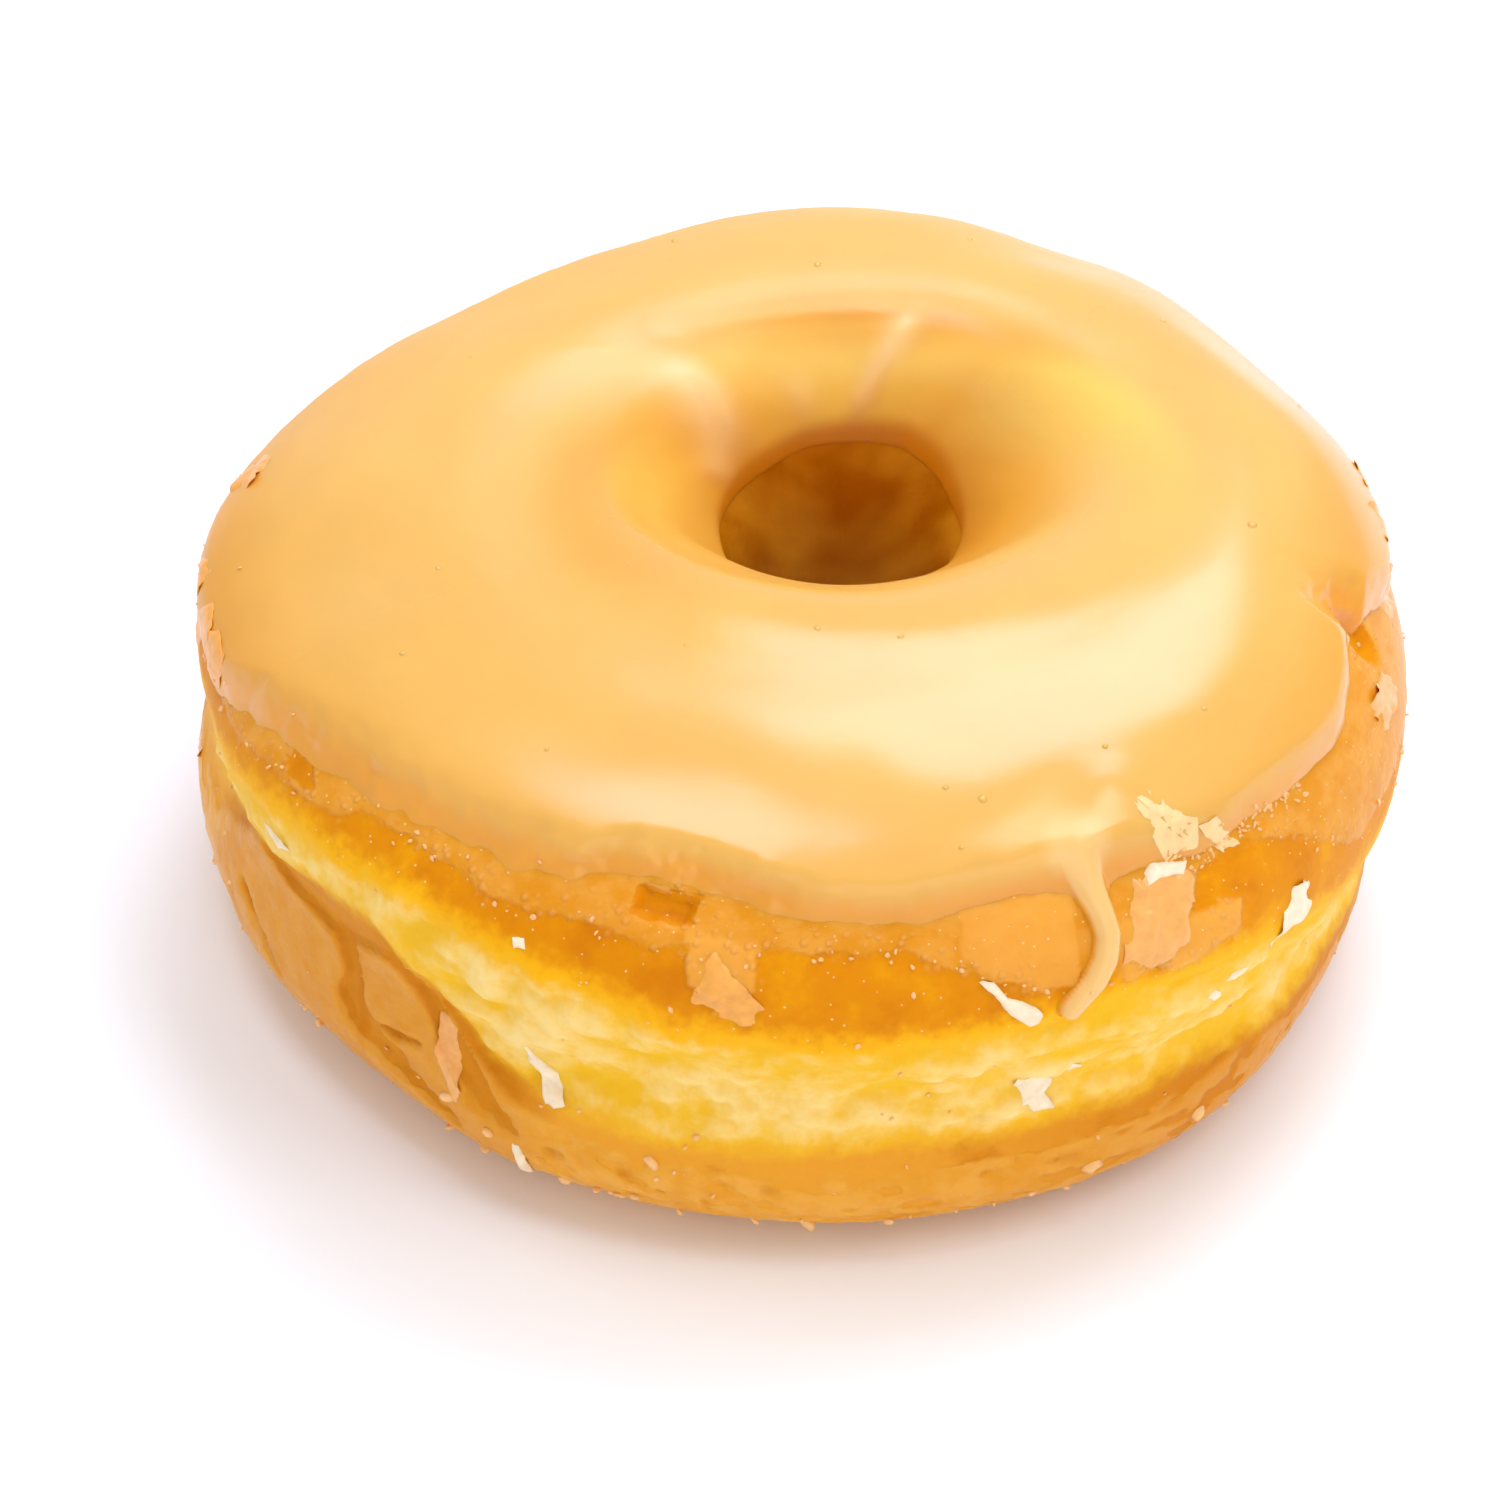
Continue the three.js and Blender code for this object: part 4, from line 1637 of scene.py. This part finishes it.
FLAKES = (
    Leaf(
        -41.0,
        26.4,
        ((-2.4, 2.0), (-1.4, -0.8), (0.2, -2.6), (1.9, -2.2), (2.3, 0.2), (0.9, 1.6), (-0.8, 1.2)),
        0.2,
        0.4,
    ),
    Leaf(
        -67.5,
        36.2,
        (
            (-1.6, -1.6), (-0.2, -2.2), (1.5, -1.2), (1.0, 0.2), (1.6, 1.6), (0.3, 2.2),
            (-1.2, 1.4), (-1.0, 0.1),
        ),
        0.2,
        0.4,
    ),
    Leaf(
        -113.6,
        37.2,
        (
            (-1.7, -2.9), (-1.1, -0.3), (0.2, 1.3), (0.8, 2.9), (2.3, 2.4), (1.5, 0.3),
            (-0.2, -0.9), (-1.3, -2.9),
        ),
        0.35,
        0.3,
        0.1,
    ),
    Leaf(
        -71.3,
        25.0,
        (
            (-2.5, -2.3), (-1.3, -2.0), (-0.5, -0.9), (0.9, -0.3), (2.0, 0.8), (2.0, 2.1),
            (1.1, 1.8), (-0.3, 0.7), (-1.2, -0.6),
        ),
        0.4,
        0.4,
        0.15,
    ),
    Leaf(-55.0, 17.9, ((-1.2, -1.0), (2.4, -0.1), (1.6, 0.7), (-0.4, 0.4), (-2.0, 0.9)), 0.4, 0.3),
    Leaf(
        -115.8,
        47.6,
        ((-0.5, -2.6), (0.3, -2.2), (0.5, 0.6), (0.3, 2.8), (-0.3, 2.4), (-0.4, 0.2)),
        0.4,
        0.3,
        0.15,
    ),
    Leaf(-146.3, 29.4, ((-2.4, 0.2), (-0.6, -0.3), (2.3, -0.5), (0.8, 0.3)), 0.2, 0.2),
    Leaf(-116.5, 24.6, ((-0.6, -0.3), (0.3, -0.5), (0.6, 0.2), (-0.2, 0.5)), 0.25, 0.1),
    Leaf(-51.4, 29.6, ((-0.6, -0.3), (0.2, -0.6), (0.7, 0.1), (-0.1, 0.5)), 0.25, 0.2),
    Leaf(-48.8, 28.7, ((-0.9, 0.1), (0.1, -0.5), (1.0, -0.4), (0.2, 0.4)), 0.25, 0.2),
    Leaf(-64.5, 33.2, ((-0.4, -0.6), (0.4, -0.4), (0.5, 0.5), (-0.3, 0.6)), 0.2, 0.2),
)


def stray_leaves(
    seed: int, count: int, sizes: tuple[float, float], zones: tuple[tuple[float, ...], ...]
) -> tuple[Leaf, ...]:
    """Leaves torn at random, for the parts of the side where none is named.

    Args:
        seed: Seed of the shapes and places.
        count: How many leaves.
        sizes: Least and greatest radius in millimetres.
        zones: First and last azimuth in degrees, and first and last down, of each zone.

    Returns:
        The leaves, wider than they are high.
    """
    random = np.random.default_rng(seed)
    corner_count, flatness, lift = 6, 0.7, 0.15
    leaves = []
    for number in range(count):
        low_azimuth, high_azimuth, low_down, high_down = zones[number % len(zones)]
        size = random.uniform(*sizes)
        turns = np.arange(corner_count) + random.uniform(-0.3, 0.3, corner_count)
        turns = turns * 2 * math.pi / corner_count
        reach = size * random.uniform(0.75, 1.15, corner_count)
        corners = tuple(zip(reach * np.cos(turns), flatness * reach * np.sin(turns)))
        azimuth = random.uniform(low_azimuth, high_azimuth)
        down = random.uniform(low_down, high_down)
        leaves.append(Leaf(azimuth, down, corners, lift, random.uniform(0.15, 0.45)))
    return tuple(leaves)


@dataclass
class GlazeLeaves:
    """Brittle torn leaves of dried glaze, each a thin closed shape with a curled rim."""

    name: str
    skin: Skin
    finish: DriedGlaze
    leaves: tuple[Leaf, ...]
    spokes: int = 56
    rings: tuple[float, ...] = (0.25, 0.5, 0.7, 0.85, 0.95, 1.0)
    thickness: float = 0.08
    ragged: float = 0.28
    wave: Pattern = Pattern(62, 2.2, 2)
    crinkle: Pattern = Pattern(63, 0.7, 2)

    def outline(self, leaf: Leaf, number: int) -> Array:
        """Ragged outline of a leaf, in millimetres across and down."""
        corners = np.array(leaf.corners + leaf.corners[:1])
        way = np.concatenate([[0], np.cumsum(np.linalg.norm(np.diff(corners, axis=0), axis=1))])
        even = np.linspace(0, way[-1], self.spokes, endpoint=False)
        edge = np.stack([np.interp(even, way, corners[:, i]) for i in (0, 1)], axis=-1)
        reach = np.linalg.norm(edge, axis=1, keepdims=True) + 1e-6
        noise = RandomField(61).layered(np.insert(edge / 0.9, 2, 3.7 * number, axis=1), 3)
        return edge * (1 + self.ragged * noise[:, None] / np.maximum(reach, 0.8))

    def build(self) -> bpy.types.Object:
        """Builds and dresses all the leaves as one mesh."""
        scales = np.array((0.0,) + self.rings)
        spots = np.stack([self.outline(leaf, i) for i, leaf in enumerate(self.leaves)])
        spots = spots[:, None] * scales[None, :, None, None]
        middle = np.array([(leaf.azimuth, leaf.down) for leaf in self.leaves])[:, None, None]
        azimuth = np.radians(middle[..., 0]) + spots[..., 0] / SIDE_RADIUS
        down = middle[..., 1] + spots[..., 1]
        shape = np.array([(leaf.lift, leaf.curl, leaf.tilt) for leaf in self.leaves])
        lift, curl, tilt = (shape[:, i, None, None] for i in range(3))
        place = drum(azimuth, down)
        rim = scales[None, :, None] ** 3
        curled = curl * rim * (2.6 * self.wave.at(place) - 0.1)
        lift = lift * (1 - rim) + curled + tilt * spots[..., 1]
        lift = lift + 0.09 * self.crinkle.at(place)
        top = self.skin.place(azimuth, down, lift)
        under = self.skin.place(azimuth, down, lift - self.thickness)
        points = np.stack([top, under], axis=1)
        points[..., 2] = np.maximum(points[..., 2], 0.0)
        piece = mesh_object(self.name, points, self._faces(len(self.leaves)))
        merge_points(piece)
        piece.data.materials.append(self.finish.build())
        return piece

    def _faces(self, count: int) -> Array:
        """Faces of every leaf: its top, its underside and the band between them."""
        rows = len(self.rings) + 1
        row, spoke = np.meshgrid(np.arange(rows - 1), np.arange(self.spokes), indexing="ij")
        row, spoke, after = row.ravel(), spoke.ravel(), (spoke.ravel() + 1) % self.spokes
        start, below = row * self.spokes, (row + 1) * self.spokes
        top = np.stack([start + spoke, start + after, below + after, below + spoke], axis=-1)
        side = rows * self.spokes
        under = top[:, ::-1] + side
        rim = (rows - 1) * self.spokes + np.arange(self.spokes)
        rim_after = (rows - 1) * self.spokes + (np.arange(self.spokes) + 1) % self.spokes
        band = np.stack([rim, rim_after, rim_after + side, rim + side], axis=-1)
        one = np.concatenate([top, under, band])
        return (one[None] + 2 * side * np.arange(count)[:, None, None]).reshape(-1, 4)


@dataclass
class Grains:
    """Many small uneven lumps in one mesh: crumbs of glaze, or bubbles in the icing."""

    name: str
    slot: str
    material: bpy.types.Material
    seed: int
    flatness: float = 0.5
    uneven: float = 0.35
    depth_mm: float = 9.0

    def build(self, centres: Array, sizes: Array) -> bpy.types.Object:
        """Builds and dresses the grains.

        Args:
            centres: Where each grain is, in millimetres.
            sizes: Radius of each grain in millimetres.

        Returns:
            The piece.
        """
        ball = bmesh.new()
        bmesh.ops.create_icosphere(ball, subdivisions=2, radius=1.0)
        corners = np.array([tuple(vertex.co) for vertex in ball.verts])
        faces = np.array([[vertex.index for vertex in face.verts] for face in ball.faces])
        ball.free()
        random = np.random.default_rng(self.seed)
        count = len(sizes)
        turns = np.linalg.qr(random.normal(size=(count, 3, 3)))[0]
        turns *= np.linalg.det(turns)[:, None, None]
        drawn = random.uniform(0.7, 1.15, (count, 3))
        drawn[:, 2] *= self.flatness
        offset = random.uniform(0, 90, (count, 1, 3))
        swell = 1 + self.uneven * RandomField(self.seed).at(corners[None] * 1.1 + offset)
        shape = corners[None] * swell[..., None] * drawn[:, None] * sizes[:, None, None]
        points = centres[:, None] + np.einsum("nij,nkj->nki", turns, shape)
        points[..., 2] = np.maximum(points[..., 2], 0.0)
        faces = faces[None] + len(corners) * np.arange(count)[:, None, None]
        piece = mesh_object(self.name, points, faces.reshape(-1, 3))
        # Bubbles take the icing's full depth and its whole painted lit top colour.
        level = np.ones(points.shape[:2])
        paint_numbers(piece, place=points, depth=self.depth_mm * level, level=level)
        piece.data.materials.append(self.material)
        return piece


@dataclass
class Trimmings:
    """Everything small that clings to the doughnut."""

    skin: Skin
    seed: int = 71
    foot_crumbs: int = 90
    edge_crumbs: int = 160
    side_crumbs: int = 130
    rim_crumbs: int = 55

    def leaves(self) -> list[bpy.types.Object]:
        """Builds the peach sheets, the clear and milky skins and the white flakes."""
        film = ((-20, 175, 19, 25), (180, 200, 24, 29), (-10, 200, 41, 49))
        side = ((0, 200, 19, 27), (-20, 200, 40, 50))
        sheets = SHEETS + stray_leaves(81, 16, (1.6, 3.2), film)
        skins = SKINS + stray_leaves(82, 10, (1.2, 2.2), side)
        flakes = FLAKES + stray_leaves(83, 10, (0.5, 1.2), side)
        kinds = (
            ("glaze_sheets", DriedGlaze("peach_sugar_glaze", Tone.SHEET), sheets),
            ("glaze_skins", DriedGlaze("clear_sugar_glaze", Tone.SKIN, 0.22), skins),
            ("glaze_wisps", DriedGlaze("milky_sugar_glaze", Tone.WISP, 0.25), WISPS),
            ("glaze_flakes", DriedGlaze("white_dried_glaze", Tone.FLAKE, 0.35), flakes),
        )
        return [GlazeLeaves(name, self.skin, finish, all_).build() for name, finish, all_ in kinds]

    def crumbs(self) -> bpy.types.Object:
        """Builds the crumbs round the foot, along the torn glaze and on the side."""
        random = np.random.default_rng(self.seed)
        named = [(-123, 44.1), (-102.5, 43.2), (-88.5, 50.2), (-61.5, 45.1), (-49.5, 44.2)]
        foot_azimuth = random.uniform(-180, 180, self.foot_crumbs)
        foot_down = random.normal(50.5, 2.2, self.foot_crumbs)
        edge_azimuth = random.uniform(-180, 180, self.edge_crumbs)
        edge_down = self.skin.dough.film_edge.at(np.radians(edge_azimuth))
        edge_down = edge_down + random.normal(0, 0.5, self.edge_crumbs)
        side_azimuth = random.uniform(-180, 180, self.side_crumbs)
        side_down = random.uniform(18, 48, self.side_crumbs)
        rim_azimuth = random.uniform(-53, -36, self.rim_crumbs)
        rim_down = self.skin.icing.outer_edge.at(np.radians(rim_azimuth))
        rim_down = rim_down + random.normal(0.2, 0.35, self.rim_crumbs)
        named_azimuth, named_down = zip(*named)
        azimuth = (named_azimuth, foot_azimuth, edge_azimuth, side_azimuth, rim_azimuth)
        down = (named_down, foot_down, edge_down, side_down, rim_down)
        azimuth, down = np.radians(np.concatenate(azimuth)), np.concatenate(down)
        sizes = np.concatenate(
            [
                np.full(len(named), 0.95),
                random.uniform(0.15, 0.55, self.foot_crumbs),
                random.uniform(0.1, 0.28, self.edge_crumbs),
                random.uniform(0.08, 0.26, self.side_crumbs),
                random.uniform(0.15, 0.36, self.rim_crumbs),
            ]
        )

        # Most stand proud of the surface, and the largest and those in the icing are sunk.
        proud = np.full(len(sizes), 0.15)
        proud[: len(named)] = proud[-self.rim_crumbs :] = -0.25
        centres = self.skin.place(azimuth, down, proud * sizes)
        centres[:, 2] = np.maximum(centres[:, 2], 0.9 * sizes)
        finish = DriedGlaze("glaze_crumb_sugar", Tone.CRUMB, 0.35).build()
        return Grains("glaze_crumbs", "dough", finish, 72).build(centres, sizes)

    def bubbles(self, finish: bpy.types.Material) -> bpy.types.Object:
        """Builds the pimples that air bubbles left in the icing."""
        spots = np.array(
            [
                (-97, -4.6), (-121, -1.2), (-124.5, 11.3), (-80.5, -3.7), (-76.5, 9.5),
                (-75.5, 13.8), (-43, 8.9), (-56.5, 8.7), (-72.5, 10.6), (-11.5, 2.8),
                (-141.5, -5.8), (-161, 5.6), (-148.5, 11.4), (-14.2, 15.2), (38, 6.0),
                (71, 9.5), (112, 12.4), (152, 7.7), (95, 4.1), (20, 11.8),
            ]
        )
        random = np.random.default_rng(73)
        sizes = random.uniform(0.28, 0.48, len(spots))
        centres = self.skin.place(np.radians(spots[:, 0]), spots[:, 1], -0.62 * sizes)
        return Grains("icing_bubbles", "icing", finish, 74, 1.0, 0.15).build(centres, sizes)


# --------------------------------------------------------------------------- the studio


# Tints of the lights, as linear red, green and blue.
COOL = (0.84, 0.94, 1.26)
PLAIN = (0.97, 0.98, 1.06)
WARM = (1.0, 0.99, 0.9)


@dataclass(frozen=True)
class Studio:
    """A white board under soft light, and the camera that looks down on the doughnut."""

    elevation: float = 42.0
    distance: float = 300.0
    aim_height: float = 20.0
    lens: float = 89.86
    sensor: float = 36.0
    look_left: float = 4.25
    look_down: float = 7.45
    sky: float = 0.665

    def build(self, shift: tuple[float, float]) -> None:
        """Makes the floor, lights and camera.

        Args:
            shift: Where the form's own middle lies in the frame, in millimetres.
        """
        bpy.context.scene.view_settings.view_transform = "Standard"
        self._floor()
        self._sky()
        for name, at, turn, size, power, colour in (
            ("window_light", (0.131, 0.28, 0.52), (0, 0, 24), (0.31, 0.38), 1.9, COOL),
            ("side_window_light", (-0.105, -0.006, 0.52), (0, 0, -54), (0.27, 0.12), 0.5, COOL),
            ("lamp_light", (0.30, -0.14, 0.52), (0, 0, -35), (0.34, 0.16), 0.7, PLAIN),
            ("left_card", (-0.75, -0.45, 0.2), (78, 0, -60), (0.6, 0.4), 0.15, PLAIN),
            ("front_card", (0.25, -0.85, 0.30), (74, 0, 16), (1.1, 0.5), 1.5, WARM),
            ("back_card", (0.0, 1.1, 0.45), (-68, 0, 0), (1.6, 0.8), 1.1, COOL),
        ):
            self._light(name, at, turn, size, power, colour)
        self._camera(shift)

    def _floor(self) -> None:
        """The board under the doughnut, a hair lower so that no two faces share a plane."""
        half, low = 3.0, -0.1 * METRES
        mesh = bpy.data.meshes.new("floor")
        corners = [(-half, -half, low), (half, -half, low), (half, half, low), (-half, half, low)]
        mesh.from_pydata(corners, [], [(0, 1, 2, 3)])
        floor = bpy.data.objects.new("floor", mesh)
        bpy.context.scene.collection.objects.link(floor)
        mesh.materials.append(PaleBoard().build())

    def _sky(self) -> None:
        """Even white light from all round."""
        world = bpy.data.worlds.new("white_room")
        world.use_nodes = True
        background = world.node_tree.nodes["Background"]
        background.inputs["Color"].default_value = (1, 1, 1, 1)
        background.inputs["Strength"].default_value = self.sky
        bpy.context.scene.world = world

    def _light(
        self,
        name: str,
        at: tuple[float, float, float],
        turn: tuple[float, float, float],
        size: tuple[float, float],
        power: float,
        colour: tuple[float, float, float],
    ) -> None:
        """Adds a soft rectangular light.

        Args:
            name: Name of the light.
            at: Where it is, in metres.
            turn: Degrees about X, Y and Z, from facing straight down.
            size: Its width and height in metres.
            power: Its power in watts.
            colour: Its linear colour.
        """
        light = bpy.data.lights.new(name, "AREA")
        light.shape = "RECTANGLE"
        light.size, light.size_y = size
        light.energy = power
        light.color = colour
        lamp = bpy.data.objects.new(name, light)
        lamp.location = at
        lamp.rotation_euler = [math.radians(angle) for angle in turn]
        bpy.context.scene.collection.objects.link(lamp)

    def _camera(self, shift: tuple[float, float]) -> None:
        """Puts the camera in front, looking down."""
        tilt = math.radians(self.elevation)
        right = Vector((1, 0, 0))
        up = Vector((0, math.sin(tilt), math.cos(tilt)))
        back = Vector((0, -math.cos(tilt), math.sin(tilt)))
        aim = Vector((shift[0], shift[1], self.aim_height))
        place = aim + back * self.distance
        target = aim - right * self.look_left - up * self.look_down
        data = bpy.data.cameras.new("camera")
        data.lens, data.sensor_width = self.lens, self.sensor
        camera = bpy.data.objects.new("camera", data)
        camera.location = place * METRES
        camera.rotation_euler = (target - place).to_track_quat("-Z", "Y").to_euler()
        bpy.context.scene.collection.objects.link(camera)
        bpy.context.scene.camera = camera


# --------------------------------------------------------------------------------- main


def form_in_frame() -> RingForm:
    """Sets the form over the origin just as the CAD model stands.

    Returns:
        The form, moved so that its dough's box has the CAD box's middle.
    """
    low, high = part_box("dough_ring")
    azimuth = np.linspace(-math.pi, math.pi, 720, endpoint=False)[:, None]
    points = RingForm().point(azimuth, np.linspace(0, 7, 141)[None, :]).reshape(-1, 3)
    middle = (points.min(axis=0) + points.max(axis=0)) / 2
    wanted = (low + high) / 2 / METRES
    return RingForm(shift=(wanted.x - middle[0], wanted.y - middle[1]))


def main() -> None:
    """Builds the doughnut piece by piece, then the studio round it."""
    logging.basicConfig(level=logging.INFO, format="%(message)s")
    form = form_in_frame()
    gauge = SurfaceGauge(form)
    dough = DoughRing(form, gauge)
    icing = MapleIcing(form, gauge)
    cap = icing.build()
    trimmings = Trimmings(Skin(dough, icing))
    pieces = [dough.build(), cap, *trimmings.leaves(), trimmings.crumbs()]
    pieces.append(trimmings.bubbles(cap.data.materials[0]))
    for piece in pieces:
        log.info("%s: %d faces", piece.name, len(piece.data.polygons))
    Studio().build(form.shift)


if __name__ == "__main__":
    main()
